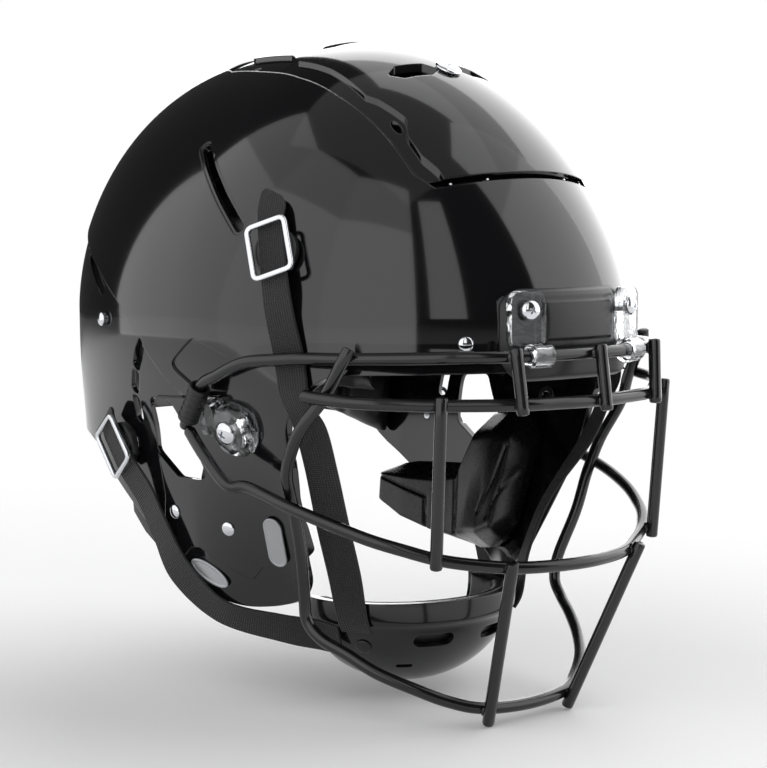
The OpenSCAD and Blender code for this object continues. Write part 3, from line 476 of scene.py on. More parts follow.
# Shell and crown plate, carved from dense skins
AROUND = 240


def skin(o):
    crown = np.sin(np.radians(np.linspace(1.5, 87, 58)))
    zs = np.concatenate([np.linspace(38, MID_Z, 37), MID_Z + (CROWN_H + o) * crown])
    ring = np.arange(AROUND) * 360 / AROUND
    pts = skin_point(ring[None, :], zs[:, None], o).reshape(-1, 3)
    verts = list(pts) + [(0, 0, zs[0]), (0, 0, MID_Z + CROWN_H + o)]
    k, m = len(zs), AROUND
    faces = [(i * m + j, i * m + (j + 1) % m, (i + 1) * m + (j + 1) % m, (i + 1) * m + j)
             for i in range(k - 1) for j in range(m)]
    faces += [(k * m, (j + 1) % m, j) for j in range(m)]
    faces += [(k * m + 1, (k - 1) * m + j, (k - 1) * m + (j + 1) % m) for j in range(m)]
    return raw("skin", verts, faces)


def rounded(points, r, steps=4):
    """Polygon with its corners turned to arcs of radius r where they have room."""
    out, n = [], len(points)
    p = [np.array(q, float) for q in points]
    for i in range(n):
        a, b, c = p[i - 1], p[i], p[(i + 1) % n]
        u, v = unit(a - b), unit(c - b)
        half = math.acos(max(-1, min(1, float(u @ v)))) / 2
        if half > math.radians(86) or half < 0.05:
            out.append(b)
            continue
        d = min(r / math.tan(half), 0.45 * np.linalg.norm(a - b), 0.45 * np.linalg.norm(c - b))
        for t in np.linspace(0, 1, steps + 1):
            out.append((1 - t) ** 2 * (b + d * u) + 2 * t * (1 - t) * b + t ** 2 * (b + d * v))
    return out


def prism(points, to_3d):
    """Closed solid from a flat outline; to_3d places its points at the low end 0 and the high end 1."""
    n = len(points)
    verts = [to_3d(q, end) for end in (0, 1) for q in points]
    faces = [tuple(range(n - 1, -1, -1)), tuple(range(n, 2 * n))]
    faces += [(i, (i + 1) % n, n + (i + 1) % n, n + i) for i in range(n)]

    def close(b):
        bmesh.ops.triangulate(b, faces=[f for f in b.faces if len(f.verts) > 4])
        face_out(b)
    return edit(raw("prism", verts, faces), close)


def side_prism(points):
    """Cutter through both sides of the shell, from an outline in y and z."""
    return prism(points, lambda q, end: ((-260, 260)[end], q[0], q[1]))


def block(points, z0, z1, foot=(1, 1), head=(1, 1)):
    """Flat block whose foot and head are drawn in by their own shares."""
    ends = ((*foot, z0), (*head, z1))
    return prism(points, lambda q, end: (q[0] * ends[end][0], q[1] * ends[end][1], ends[end][2]))


def whole(half):
    return half + [(-x, y) for x, y in half[-2:0:-1]]


def grown(points, d):
    """Outline moved outward by d."""
    p = np.array(points, float)
    n = len(p)
    area = 0.5 * sum(p[i - 1][0] * p[i][1] - p[i][0] * p[i - 1][1] for i in range(n))
    s = 1 if area > 0 else -1
    out = []
    for i in range(n):
        u, v = unit(p[i] - p[i - 1]), unit(p[(i + 1) % n] - p[i])
        a, b = s * np.array([u[1], -u[0]]), s * np.array([v[1], -v[0]])
        m = unit(a + b)
        out.append(p[i] + m * d / max(0.4, float(m @ a)))
    return out


FRONT_CORNER_Y, FRONT_LEAN, OVER_ALL = -112, 19, 420


def above(lift, outline, grow):
    """Everything over the outline and behind the plane that leans back from its front corners."""
    slope = math.tan(math.radians(FRONT_LEAN))

    def place(q, end):
        return (q[0], q[1], OVER_ALL if end else RECESS_FRONT_Z + lift - (q[1] - FRONT_CORNER_Y) * slope)
    return prism(grown(rounded(outline, 5), grow), place)


W = RECESS_HALF_W
recess_outline = whole([
    (0, -150), (W - 6, -150), (W - 6, -112), (W, -101), (W, -50), (W - 2, -20), (W - 7, 16),
    (W - 13, RECESS_BACK - 18), (W - 21, RECESS_BACK - 4), (0, RECESS_BACK)])
raised_outline = whole([
    (0, -150), (W - 9, -150), (W - 9, -108), (W - 6, -100), (W - 6, -90), (W - 11, -85), (W - 8, -68),
    (W - 6, -62), (W - 10, -33), (W - 12, -6), (W - 19, 6), (W - 24, RECESS_BACK - 20),
    (0, RECESS_BACK - 10)])
# Vents of the left half: x, y, length, width, turn in degrees
vents = [(19, -63, 26, 11, 14), (16, -8, 22, 8, 4)]


def vent_cutter(v, grow):
    x, y, l, w, turn = v
    a, b = l / 2 + grow, w / 2 + grow
    half = [(-a, -1), (-a + w / 2, -b), (a - w / 2, -b), (a, -1)]
    ring = rounded(half + [(-p, -q) for p, q in half], 1.2)
    c, s = math.cos(math.radians(turn)), math.sin(math.radians(turn))
    outline = [(x + p * c - q * s, y + p * s + q * c) for p, q in ring]
    return both_sides(block(outline, MID_Z + 40, OVER_ALL))


def spline(p, s):
    p = np.asarray(p, float)
    n, out = len(p), []
    for i in range(n - 1):
        a, b, c, d = p[max(0, i - 1)], p[i], p[i + 1], p[min(n - 1, i + 2)]
        for t in np.arange(s) / s:
            bend = (2 * a - 5 * b + 4 * c - d) * t ** 2 + (3 * b - a - 3 * c + d) * t ** 3
            out.append(b + 0.5 * ((c - a) * t + bend))
    return np.array(out + [p[-1]])


def frame_at(p, d, turn=0.0):
    """Matrix that carries +Z to d at p, with X turned by turn degrees as in the construction."""
    d = unit(d)
    a, b = math.acos(float(d[2])), math.atan2(float(d[1]), float(d[0]))
    m = Matrix.Translation(Vector(p)) @ Matrix.Rotation(b, 4, "Z") @ Matrix.Rotation(a, 4, "Y")
    return m @ Matrix.Rotation(math.radians(turn), 4, "Z")


def put(o, m):
    o.data.transform(m)
    return o


def side_frame(y, z, lift=0.0, turn=0.0):
    return frame_at(over_side(y, z, lift), side_dir(y, z), turn)


def on_side(o, y, z, lift=0.0, turn=0.0):
    return put(o, side_frame(y, z, lift, turn))


def front_frame(x, z):
    turn = math.atan2(end_y(x + 2, z) - end_y(x - 2, z), 4)
    upright = Matrix.Rotation(turn, 4, "Z") @ Matrix.Rotation(math.pi / 2, 4, "X")
    return Matrix.Translation(Vector((x, float(end_y(x, z)), z))) @ upright


def capsule_cutter(frames, w, depth, sides):
    """Capsule of width w cut to depth on both sides of the frames at its two ends."""
    def hull(b):
        for m in frames:
            for x, y in circle(w / 2, sides):
                for h in (-depth, depth):
                    b.verts.new(m @ Vector((x, y, h)))
        bmesh.ops.convex_hull(b, input=b.verts)
        face_out(b)
    return edit(raw("capsule", [], []), hull)


def side_slot(p, q, w):
    """Cutter for a slot from p to q, given as y and z, on both sides."""
    return both_sides(capsule_cutter([side_frame(*p), side_frame(*q)], w, 14, 20))


def circle(r, m):
    turn = np.arange(m) * 2 * math.pi / m
    return [(r * math.cos(t), r * math.sin(t)) for t in turn]


def loft(rings, loop=False):
    """Skin over rings of as many points each; loop joins the last to the first, and else the ends close."""
    n, m = len(rings), len(rings[0])
    faces = [(i * m + k, i * m + (k + 1) % m, (i + 1) % n * m + (k + 1) % m, (i + 1) % n * m + k)
             for i in range(n if loop else n - 1) for k in range(m)]
    if not loop:
        faces += [tuple(range(m - 1, -1, -1)), tuple(range((n - 1) * m, n * m))]
    return outward(raw("loft", [q for ring in rings for q in ring], faces))


def lathe(profile, segments=40, loop=False):
    """Solid of revolution about Z from (radius, height) pairs, bottom to top."""
    return loft([[(x, y, z) for x, y in circle(r, segments)] for r, z in profile], loop)


def drum(d, h, z=0.0, segments=32):
    return lathe([(d / 2, z), (d / 2, z + h)], segments)


# Places of the hardware on the shell: y and z, or x and z on the brow
side_screw, rear_rivet, brow_rivet = (-38, 137), (62, 183), (53, 178)
upper_snap, lower_snap, rivet_pos = (-62, 217), (52, 122), [(-18, 87), (17, 92)]
UPPER_TURN, LOWER_TURN = 160, 142
BROW_CLIP_Z, BADGE_Y = 193, -66
SCREW_HOLE, RIVET_HOLE, SLOT_W, SLOT_RIM_W, RIM_DEPTH, LOUVRE_W = 5.4, 4.4, 5, 8, 0.7, 6
# Outlines on the side of the shell, in y and z
lower_edge_line = [
    (-141, BROW_Z + 1), (-100, BROW_Z), (-90, BROW_Z - 1.5), (-82, BROW_Z - 7), (-73, BROW_Z - 17),
    (-68, 136), (-66, 118), (-59, 94), (-54, 76), (-50, 63), (-42, 54), (-34, 50.5), (-25, 49), (-17, 49),
    (-9, 51), (0, 55), (12, 61), (26, 69), (46, 84), (78, 106), (108, 121), (230, 131)]
lower_edge = [(-230, BROW_Z + 2)] + [tuple(q) for q in spline(lower_edge_line, 4)] + [(230, 10), (-230, 10)]
ear_hole = rounded([(30, 147), (29, 121), (12, 109.5), (-12, 109.5), (11, 147)], 5)
rear_panel = rounded([
    (-14, 149), (-5, 148.6), (9, 157), (21, 171), (43, 191), (70, 206), (113, 224), (230, 270), (230, 10),
    (34, 10), (30, 69), (24, 100), (27, 120), (28, 147)], 6)
bar_pocket = rounded([(-17, 178), (3, 164), (-13, 153.5), (-36, 154), (-44, 168)], 4)
flap_panel = rounded([
    (15, 70), (8, 75.5), (1, 76.5), (-9, 71), (-20, 64.5), (-24, 62.5), (-32, 71), (-44, 66), (-44, 40),
    (15, 40)], 3)
scoop = [(9, 265), (-5, 254), (-20, 242), (-36, 229)]
rear_slot = [(94, 214), (66, 197)]
louvre = [((25, 173), (33, 162)), ((36, 157), (40, 150)), ((42, 144), (42, 136))]


def build_shell():
    inner = combine(skin(-WALL), above(-WALL, recess_outline, WALL))
    cutters = [inner, skin(-RECESS - WALL), combine(above(0, recess_outline, 0), skin(-RECESS))]
    for outline, depth in ((rear_panel, PANEL_STEP), (bar_pocket, POCKET), (flap_panel, POCKET)):
        cutters.append(combine(side_prism(outline), skin(-depth)))
    cutters += [side_prism(lower_edge), side_prism(ear_hole)] + [vent_cutter(v, -1) for v in vents]
    for a, b in zip(scoop, scoop[1:]):
        cutters += [combine(side_slot(a, b, SLOT_RIM_W), skin(-RIM_DEPTH)), side_slot(a, b, SLOT_W)]
    cutters += [side_slot(*rear_slot, SLOT_W)] + [side_slot(a, b, LOUVRE_W) for a, b in louvre]
    for p in rivet_pos + [rear_rivet, side_screw, upper_snap, lower_snap]:
        hole = drum(SCREW_HOLE if p == side_screw else RIVET_HOLE, 24, -12)
        cutters.append(both_sides(on_side(hole, *p)))
    settle(combine(skin(0), *cutters), "shell", shell_plastic, shading="skin")


def build_crown_plate():
    under = -RECESS + PLATE_FLOAT
    flange, panel = above(FRONT_SLOT, recess_outline, -PLATE_GAP), above(FRONT_SLOT, raised_outline, 0)
    flange = combine(skin(under + FLANGE_T), flange, operation="INTERSECT")
    panel = combine(skin(PANEL_TOP), panel, operation="INTERSECT")
    p = combine(flange, panel, operation="UNION")
    p = combine(p, skin(under), *(vent_cutter(v, 0) for v in vents))
    holes = [(0, BADGE_Y, 4.4)] + [(s * x, y, 1.6) for x, y in ((W - 7, -82), (W - 13, 26)) for s in (1, -1)]
    for x, y, r in holes:
        hole = lathe([(r, MID_Z + 40), (r, OVER_ALL)], 24)
        if r < 2:
            put(hole, Matrix.Diagonal(Vector((1, 2.2, 1, 1))))
        p = combine(p, put(hole, Matrix.Translation(Vector((x, y, 0)))))
    settle(p, "crown_plate", shell_plastic, "crown_panel", shading="skin")


build_shell()
build_crown_plate()


# Face guard: bars as smooth tubes, with weld beads where they touch
FREE_LIFT = STRAP_T / 2 + 1.4
CAP_LIFT = 1.2
STRAP_LIFT = CAP_LIFT + CAP_H + STRAP_T / 2 + 0.5


def at_x(half, x):
    i = [k for k in range(len(half) - 1) if half[k][0] <= x < half[k + 1][0]][0]
    a, b = np.array(half[i], float), np.array(half[i + 1], float)
    return mix(a, b, (x - a[0]) / (b[0] - a[0])), unit(b - a)


def ahead(half, x):
    p, d = at_x(half, x)
    return p + STEP * unit([d[1], -d[0], 0])


def bar(y, z, rows):
    """Left half of a bar from its middle outward; rows give x and what is added to y and z."""
    return [(a, y + b, z + c) for a, b, c in rows]


sleeve_mid = np.array([float(side_x(-20, 148)) + BAR_R + 5.2, -20, 148])
sleeve_dir = unit([2.2, -13, 17])
SLEEVE_L = 20
bar_tip = sleeve_mid - (SLEEVE_L / 2 + 5.5) * sleeve_dir
BAR_OFF = FREE_LIFT + STRAP_T / 2 + 0.5 + BAR_R
upper_half = bar(brow_y, UPPER_Z, [
    (0, 0, 0), (24, 2, 0), (46, 8, 0), (62, 18, 0), (75, 31, -0.5), (85, 45, -1), (95, 61, -1.5)])
for y, z in ((78, -2.5), (90, -3), (107, -4.5), (122, -10)):
    upper_half.append(over_side(brow_y + y, UPPER_Z + z, BAR_OFF))
upper_half += [sleeve_mid + SLEEVE_L / 2 * sleeve_dir, bar_tip]
ROD_X = 94
rod_top = ahead(upper_half, ROD_X)
lower_half = bar(low_y, LOWER_Z, [
    (0, 0, 0), (24, 3.5, 0), (45, 9.5, 0), (69, 27.5, 0), (84, 39, 0.5), (99, 54, 1.5), (105, 68.5, 2.5),
    (107.5, 77, 3.5)])
mouth_half = bar(brow_y + 3, MOUTH_Z, [
    (0, 0, 0), (20, 3, 0), (36, 8, 0.5), (50, 15.5, 2), (66, 25, 5), (80, 36, 10), (89, 47, 14), (98, 63, 20),
    (105, 84, 26.5), (108.5, 108, 33), (113, 117, 33.5)])
mouth_half += [bar_tip + [0, -15, -12], bar_tip + [0, -3, -0.6]]
chin_y = brow_y + 38
chin_half = bar(chin_y, CHIN_Z, [
    (0, 0, 0), (27, 2.5, 1.5), (42, 10, 5.5), (55.5, 19, 12), (67, 31.5, 19), (74.5, 44, 27), (80, 55, 33),
    (82.5, 62, 41), (84.5, 61.5, 53), (91.5, 56, 75.5), (96.5, 54, 93), (100, 53, 102), (104, 50, 114),
    (106, 39, 132), (100.5, 29, 147)])
chin_half += [rod_top - [0, 0, 1], rod_top + [-2.2, -2.4, 5]]


def both(half):
    half = [np.array(p, float) for p in half]
    return [p * [-1, 1, 1] for p in half[:0:-1]] + half


def tube(path, r):
    """Round bar along a path, its ends softened over the length of edge."""
    path, sides, edge = np.array(path, float), 18, 1.2
    n = len(path)
    t = unit(np.array([path[min(n - 1, i + 1)] - path[max(0, i - 1)] for i in range(n)]))
    u, frames = np.cross(t[0], [0.02, 0.3, 1]), []
    for i in range(n):
        u = unit(u - t[i] * (u @ t[i]))
        frames.append((u, np.cross(t[i], u)))
    soft = ((0, 1), (0.3, 0.3), (1, 0))
    rings = [(path[0] + edge * a * t[0], r - edge * b, 0) for a, b in soft]
    rings += [(path[i], r, i) for i in range(1, n - 1)]
    rings += [(path[-1] - edge * a * t[-1], r - edge * b, n - 1) for a, b in soft[::-1]]
    return loft([[c + x * frames[i][0] + y * frames[i][1] for x, y in circle(q, sides)] for c, q, i in rings])


def rod(a, b):
    a, b = np.array(a, float), np.array(b, float)
    return tube([mix(a, b, t) for t in np.linspace(0, 1, 9)], BAR_R)


def bead(a, b):
    """Weld bead between two touching bars at a and b, their nearest middle points."""
    a, b = np.array(a, float), np.array(b, float)
    o = lathe([(0.4, -1.75), (1.5, -1.5), (2.5, -0.8), (2.9, 0), (2.5, 0.8), (1.5, 1.5), (0.4, 1.75)], 20)
    return put(o, frame_at((a + b) / 2, b - a))


def left_right(make, a, b):
    """What make(a, b) gives on the left and on the right."""
    return [make(a * [s, 1, 1], b * [s, 1, 1]) for s in (1, -1)]


for name, half in (("upper_brow_bar", upper_half), ("lower_brow_bar", lower_half), ("mouth_bar", mouth_half),
                   ("chin_bar", chin_half)):
    settle(tube(spline(both(half), 6), BAR_R), name, guard_coat)

# Each strut stands ahead of the bars it joins, and passes them by the length of OVER
OVER = np.array([0, 0, BAR_R + 1.5])
BROW_X, EYE_X, CHIN_X = (44, 42), (70, 68), 39
struts = [rod(ahead(upper_half, 0) + OVER, ahead(lower_half, 0) - OVER)]
struts += left_right(rod, ahead(upper_half, BROW_X[0]) + OVER, ahead(lower_half, BROW_X[1]) - OVER)
settle(join(struts), "brow_struts", guard_coat)
eye = left_right(rod, ahead(lower_half, EYE_X[0]) + OVER, ahead(mouth_half, EYE_X[1]) - OVER)
settle(join(eye), "eye_guards", guard_coat)

strut_top = ahead(mouth_half, CHIN_X)
foot = np.array([27, chin_y + 2.5 - STEP * 0.75, CHIN_Z + 1.5 - STEP * 0.6])
lean = unit(strut_top - foot)
past = (foot[2] - BAR_R * math.sqrt(1 - lean[2] ** 2)) / lean[2]
settle(join(left_right(rod, strut_top + 3.5 * lean, foot - past * lean)), "chin_struts", guard_coat)

beads = [bead(at_x(half, 0)[0], ahead(half, 0)) for half in (upper_half, lower_half)]
for half, x in ((upper_half, BROW_X[0]), (lower_half, BROW_X[1]), (lower_half, EYE_X[0]),
                (mouth_half, EYE_X[1]), (mouth_half, CHIN_X), (upper_half, ROD_X)):
    beads += left_right(bead, at_x(half, x)[0], ahead(half, x))
beads += left_right(bead, at_x(chin_half, 27.5)[0], foot + lean * 1.5)
settle(join(beads), "weld_beads", guard_coat, nodes=(), shading="round")


def sleeve():
    """Ribbed rubber sleeve with a collar at each end."""
    r, l = BAR_R + 0.5, SLEEVE_L / 2
    top = r + 1.7
    end = [(r + 0.05, 0.6 - l), (r + 0.5, -l), (top - 0.4, -l), (top, 0.5 - l), (top, 2.2 - l),
           (top - 0.5, 2.5 - l)]
    ribs = []
    for z in np.linspace(-l + 4.6, l - 4.6, 4):
        ribs += [(top - 0.5, z - 0.8), (top - 0.1, z - 0.5), (top - 0.1, z + 0.5), (top - 0.5, z + 0.8)]
    o = lathe(end + ribs + [(a, -b) for a, b in end[::-1]], 36, loop=True)
    return put(o, frame_at(sleeve_mid, sleeve_dir))


settle(both_sides(sleeve()), "bar_sleeves", bumper_rubber)


# Hardware
def cross_screw(d, h, z):
    """Round-head screw with a cross recess and its shank, head seated at z."""
    r = d / 2
    crown = [(r * math.cos(t), z + 0.5 + (h - 0.5) * math.sin(t)) for t in np.linspace(0.12, 1.5, 9)]
    o = lathe([(2.35, z - 9), (2.35, z - 0.01), (r - 0.25, z), (r, z + 0.3)] + crown + [(0.01, z + h)], 40)
    for turn in (0.5, 0.5 + math.pi / 2):
        w, l = 0.55, 0.24 * d
        arm = block([(-l, -w), (l, -w), (l, w), (-l, w)], z + 0.45 * h, z + h + 1, foot=(0.55, 0.5))
        o = combine(o, put(arm, Matrix.Rotation(turn, 4, "Z")))
    return o


def dome(d, h, z, shank=3.9, depth=4.5):
    r = d / 2
    prof = [(shank / 2, z - depth), (shank / 2, z - 0.01), (r - 0.15, z), (r, z + 0.2)]
    prof += [(r * math.cos(t), z + 0.2 + (h - 0.2) * math.sin(t)) for t in np.linspace(0.25, 1.5, 7)]
    return lathe(prof + [(0.01, z + h)], 36)


upper_path = spline(upper_half, 2)
loop_dir = unit(upper_path[3] - upper_path[2])
loop_l = np.linalg.norm(upper_path[3] - upper_path[2]) - 0.6
loop_mid = (upper_path[2] + upper_path[3]) / 2
CLIP_X, CLIP_T, CLIP_SEAT, CLIP_H = float(loop_mid[0]), 4, BUMPER_T + 0.9, 7
clip_frame = front_frame(CLIP_X, BROW_CLIP_Z)


def brow_clip():
    foot_y = UPPER_Z - BROW_CLIP_Z + BAR_R + 1
    outline = rounded([(-8.5, foot_y), (9.8, foot_y), (9.8, 6), (6, 8.6), (-6, 8.6), (-8.5, 6)], 3.5)
    plate = put(block(outline, CLIP_SEAT, CLIP_SEAT + CLIP_T, head=(0.93, 0.95)), clip_frame)
    r, l, at = BAR_R + 2, loop_l / 2, frame_at(loop_mid, loop_dir)
    loop = put(lathe([(r, -l), (r + 0.6, -l + 0.8), (r + 0.6, l - 0.8), (r, l)], 48), at)
    cutters = put(drum(BAR_D + 1, 40, -20, 40), at), put(drum(SCREW_HOLE, 12, CLIP_SEAT - 2), clip_frame)
    return combine(combine(plate, loop, operation="UNION"), *cutters)


def side_clip():
    boss = lathe([(13.5, 0.5), (13.5, 1.5), (11.6, 5.6), (10.2, 7.2), (9, CLIP_H + 0.5)], 48)
    heel = rounded([(-9, -2), (8, -2), (8, 9), (4, 10), (-9, 10)], 2.5)
    heel = on_side(block(heel, 0.5, 0.5 + CLIP_H, head=(0.92, 0.92)), side_screw[0] + 9, side_screw[1] + 5)
    tail = mouth_half[-2]
    cutters = [on_side(drum(SCREW_HOLE, 14, -2), *side_screw),
               put(drum(BAR_D + 5, 2 * SLEEVE_L, -SLEEVE_L, 48), frame_at(sleeve_mid, sleeve_dir)),
               put(drum(BAR_D + 1.8, 30, -8, 40), frame_at(tail, bar_tip - tail)), skin(0.4)]
    return combine(combine(on_side(boss, *side_screw), heel, operation="UNION"), *cutters)


settle_pair(brow_clip(), "brow_clip", clear_plastic)
settle_pair(side_clip(), "side_clip", clear_plastic)
settle(both_sides(put(cross_screw(9, 2.7, CLIP_SEAT + CLIP_T + 0.05), clip_frame)), "brow_screws", chrome)
settle(both_sides(on_side(cross_screw(12, 3.4, CLIP_H + 0.55), *side_screw)), "side_screws", chrome)
NUT_ROOM = 3.15


def nut():
    ring = [(2.6, 0), (5.3, 0), (5.5, 0.3), (5.5, 1.1), (5.2, 1.4), (2.8, 1.4), (2.6, 1.2)]
    return lathe([(r, z - WALL - NUT_ROOM) for r, z in ring], 32, loop=True)


settle(both_sides(join([put(nut(), clip_frame), on_side(nut(), *side_screw)])), "clip_nuts", chrome)
settle(both_sides(join([on_side(dome(7, 1.5, 0.15), *p) for p in rivet_pos])), "jaw_pad_snaps", chrome)
rivets = join([put(dome(7, 1.5, 0.15), front_frame(*brow_rivet)), on_side(dome(7, 1.5, 0.15), *rear_rivet)])
settle(both_sides(rivets), "shell_rivets", chrome)


def shell_up(x, y):
    """Point of the form over x and y, with its outward direction."""
    p = np.array([x, y, float(top_z(x, y))], float)
    return p, shell_normal(p[None])[0]


under = -RECESS - WALL
shank = lathe([(4.6, under - 4.4), (5, under - 4.1), (5, under - 1.6), (2.6, under - 1.4), (2.6, 0)], 32)
screw = join([cross_screw(13, 2.2, PANEL_TOP + 0.4), shank])
settle(put(screw, frame_at(*shell_up(0, BADGE_Y))), "badge_screw", chrome)


def lip_z(x):
    """Level at which the slot ahead of the plate meets the form, 30 percent of the way up the slot."""
    z = RECESS_FRONT_Z
    for _ in range(5):
        z = RECESS_FRONT_Z + FRONT_SLOT * 0.3 + math.tan(tilt) * (FRONT_CORNER_Y - float(end_y(x, z)))
    return z


tilt = math.radians(FRONT_LEAN)
pins = []
for x in (-42, -25, 25, 42):
    pin = lathe([(0.7, -RECESS - 1.5), (0.7, -0.9), (0.4, -0.6), (0.01, -0.6)], 16)
    place = (x, float(end_y(x, lip_z(x))), lip_z(x))
    pins.append(put(pin, frame_at(place, (0, -math.cos(tilt), math.sin(tilt)))))
settle(join(pins), "plate_pins", chrome)

studs = []
for p, u in ((upper_snap, 0), (lower_snap, PANEL_STEP)):
    stud = [(2, -WALL - 0.1), (2, -u - 0.1), (6.2, 0.1 - u), (6.5, 0.35 - u), (6.3, 0.8 - u), (3.9, 0.9 - u),
            (3.1, 1.3 - u), (3.1, 2.2), (3.5, 2.7), (3.4, 3.2), (2.6, 3.4), (0.01, 3.4)]
    studs.append(on_side(lathe(stud, 40), *p))
settle(both_sides(join(studs)), "snap_studs", chrome)


def cap_body():
    """Snap cap with a rolled rim, a shallow dished face and the tongue that carries the buckle."""
    r, z0, z1 = CAP_D / 2, CAP_LIFT, CAP_LIFT + CAP_H
    o = lathe([(3.6, z0 + 2.9), (3.6, z0), (r - 0.6, z0), (r, z0 + 0.6), (r, z1 - 1.1), (r - 0.35, z1 - 0.4),
               (r - 1.1, z1), (r - 2.2, z1), (r - 2.9, z1 - 0.35), (0.01, z1 - 0.45)], 64)
    tongue = block(rounded([(-9.9, -6.6), (0, -7), (0, 7), (-9.9, 6.6)], 1.5), z0, z0 + 2)
    return combine(o, tongue, operation="UNION")


FRAME_Z = CAP_LIFT + CAP_H + STRAP_T + 1.4


def buckle_frame():
    """Rectangular wire-like frame with soft corners, swept as a rounded bar."""
    def squared(v):
        return math.copysign(abs(v) ** 0.6, v)
    l, w = FRAME_L / 2 + 1, STRAP_W / 2 + 1.4
    path = rounded([(-l, -w), (l, -w), (l, w), (-l, w)], 2.8, 4)
    turns = np.linspace(0, 2 * math.pi, 16, endpoint=False)
    sect = [(squared(math.cos(t)), squared(math.sin(t))) for t in turns]
    rings = []
    for i in range(len(path)):
        d = unit(path[(i + 1) % len(path)] - path[i - 1])
        out = np.array([d[1], -d[0]])
        rings.append([(*(path[i] + (0.25 + 1.3 * a) * out), FRAME_Z + FRAME_T * (1 + b) / 2)
                      for a, b in sect])
    return loft(rings, loop=True)


for where, p, turn in (("upper_", upper_snap, UPPER_TURN), ("lower_", lower_snap, LOWER_TURN)):
    settle_pair(on_side(cap_body(), *p, 0, turn), where + "cap", nylon, where + "cap_body")
    settle_pair(on_side(buckle_frame(), *p, 0, turn), where + "frame", chrome, where + "buckle", "round")


# Rubber bumpers and blank badges
def sheet_solid(outer, inner):
    """Closed solid between two grids, the outer one facing out."""
    outer, inner = np.array(outer), np.array(inner)
    r, c = outer.shape[:2]
    verts = list(outer.reshape(-1, 3)) + list(inner.reshape(-1, 3))
    k = r * c
    faces = []
    for i in range(r - 1):
        for j in range(c - 1):
            a = i * c + j
            faces += [(a, a + 1, a + c + 1, a + c), (k + a, k + a + c, k + a + c + 1, k + a + 1)]
    for i in range(r - 1):
        a, b = i * c, i * c + c - 1
        faces += [(a, a + c, k + a + c, k + a), (b, k + b, k + b + c, b + c)]
    for j in range(c - 1):
        a, b = j, (r - 1) * c + j
        faces += [(a, k + a, k + a + 1, a + 1), (b, b + 1, k + b + 1, k + b)]
    return outward(raw("solid", verts, faces))


def patch(z0, z1, width, r, n, m):
    """Grid over a patch with rounded corners, closer at its rim; width gives half its width from v.
    Gives u, v, x, z and the distance from the rim."""
    u, v = np.meshgrid(*(0.5 - 0.5 * np.cos(math.pi * np.arange(k + 1) / k) for k in (n, m)))
    z = mix(z0, z1, v)
    d = np.minimum(z - z0, z1 - z)
    w = width(v) - (r - np.sqrt(np.maximum(0, r * r - np.maximum(0, r - d) ** 2)))
    x = mix(-w, w, u)
    return u, v, x, z, np.minimum(d, w - np.abs(x))


def bumper(x, z, outer, inner, front):
    """Solid between two distances from the form."""
    return sheet_solid(*(np.stack([x, end_y(x, z, e, front), z], -1) for e in (outer, inner)))


def brow_bumper():
    """Its middle is raised, with a fine groove round it."""
    u, v, x, z, rim = patch(BROW_Z - 3, 202, lambda v: 40 * (1 - 0.06 * np.abs(2 * v - 1) ** 3), 9, 96, 48)
    edge = clamp(rim / 2.2)
    e = BUMPER_T * (1 - np.abs(2 * u - 1) ** 10 * 0.5) * (1 - 0.3 * np.abs(2 * v - 1) ** 4)
    e = e * (1 - (1 - edge) ** 2 * 0.85)
    e = e + 0.9 * smooth(np.minimum(22 - np.abs(x), 8.5 - np.abs(z - 188)) / 1.2 + 0.5)
    groove = np.minimum(26.5 - np.abs(x), 12.5 - np.abs(z - 187.5))
    o = bumper(x, z, 0.4 + e - 0.5 * np.exp(-(groove / 0.7) ** 2), 0.4, True)
    places = [front_frame(s * CLIP_X, BROW_CLIP_Z) for s in (1, -1)]
    return combine(o, *(put(drum(SCREW_HOLE, 14, -3), m) for m in places))


def rear_bumper():
    _, _, x, z, rim = patch(*REAR_Z, lambda v: 62, 3, 90, 16)
    e = mix(0.7, REAR_T, np.sqrt(1 - (1 - clamp(rim / 1.6)) ** 2))
    return bumper(-x, z, e, 0.25 - PANEL_STEP, False)


settle(brow_bumper(), "brow_bumper", bumper_rubber)
settle(rear_bumper(), "rear_bumper", bumper_rubber)


def plate_of(outline):
    """Flat plate with a softened rim and a narrow raised border."""
    rings = [(0, 0), (0, 0.65), (-0.25, 0.9), (-1.0, 0.9), (-1.3, 0.7)]
    return loft([[(x, y, h) for x, y in grown(outline, g)] for g, h in rings])


arc = [(8 + 5 * math.cos(t), 5 * math.sin(t)) for t in np.linspace(-math.pi / 2, math.pi / 2, 14)]
capsule = arc + [(-x, -y) for x, y in arc]
oval = [(11.5 * math.cos(t), 4.5 * math.sin(t)) for t in np.linspace(0, 2 * math.pi, 48, endpoint=False)]
capsule_frame = side_frame(-42, 83, 1, 4)
oval_frame = side_frame(-3, 64, 0.35 - POCKET, -63)
badges = join([put(plate_of(capsule), capsule_frame), put(plate_of(oval), oval_frame)])
settle(both_sides(badges), "side_badges", badge_metal)


# Pads: crowned closed forms, swollen by a short cloth simulation, with their channels pressed in afterwards
def fall(u):
    return np.maximum(0, 1 - np.abs(2 * u - 1) ** 5) ** 0.6


def ring_place(a, z, seat):
    """Place of a point of a pad: u along, v up, k 0 at the shell and 1 at the head, t its thickness."""
    def at(u, v, k, t):
        w = u + (0.5 - u) * 0.07 * (2 * v - 1) ** 2 * k
        h = 0.32 + 0.68 * fall(u) * fall(v)
        return skin_point(mix(a[0], a[1], w), mix(z[0](u), z[1], v), seat - k * t * h)
    return at


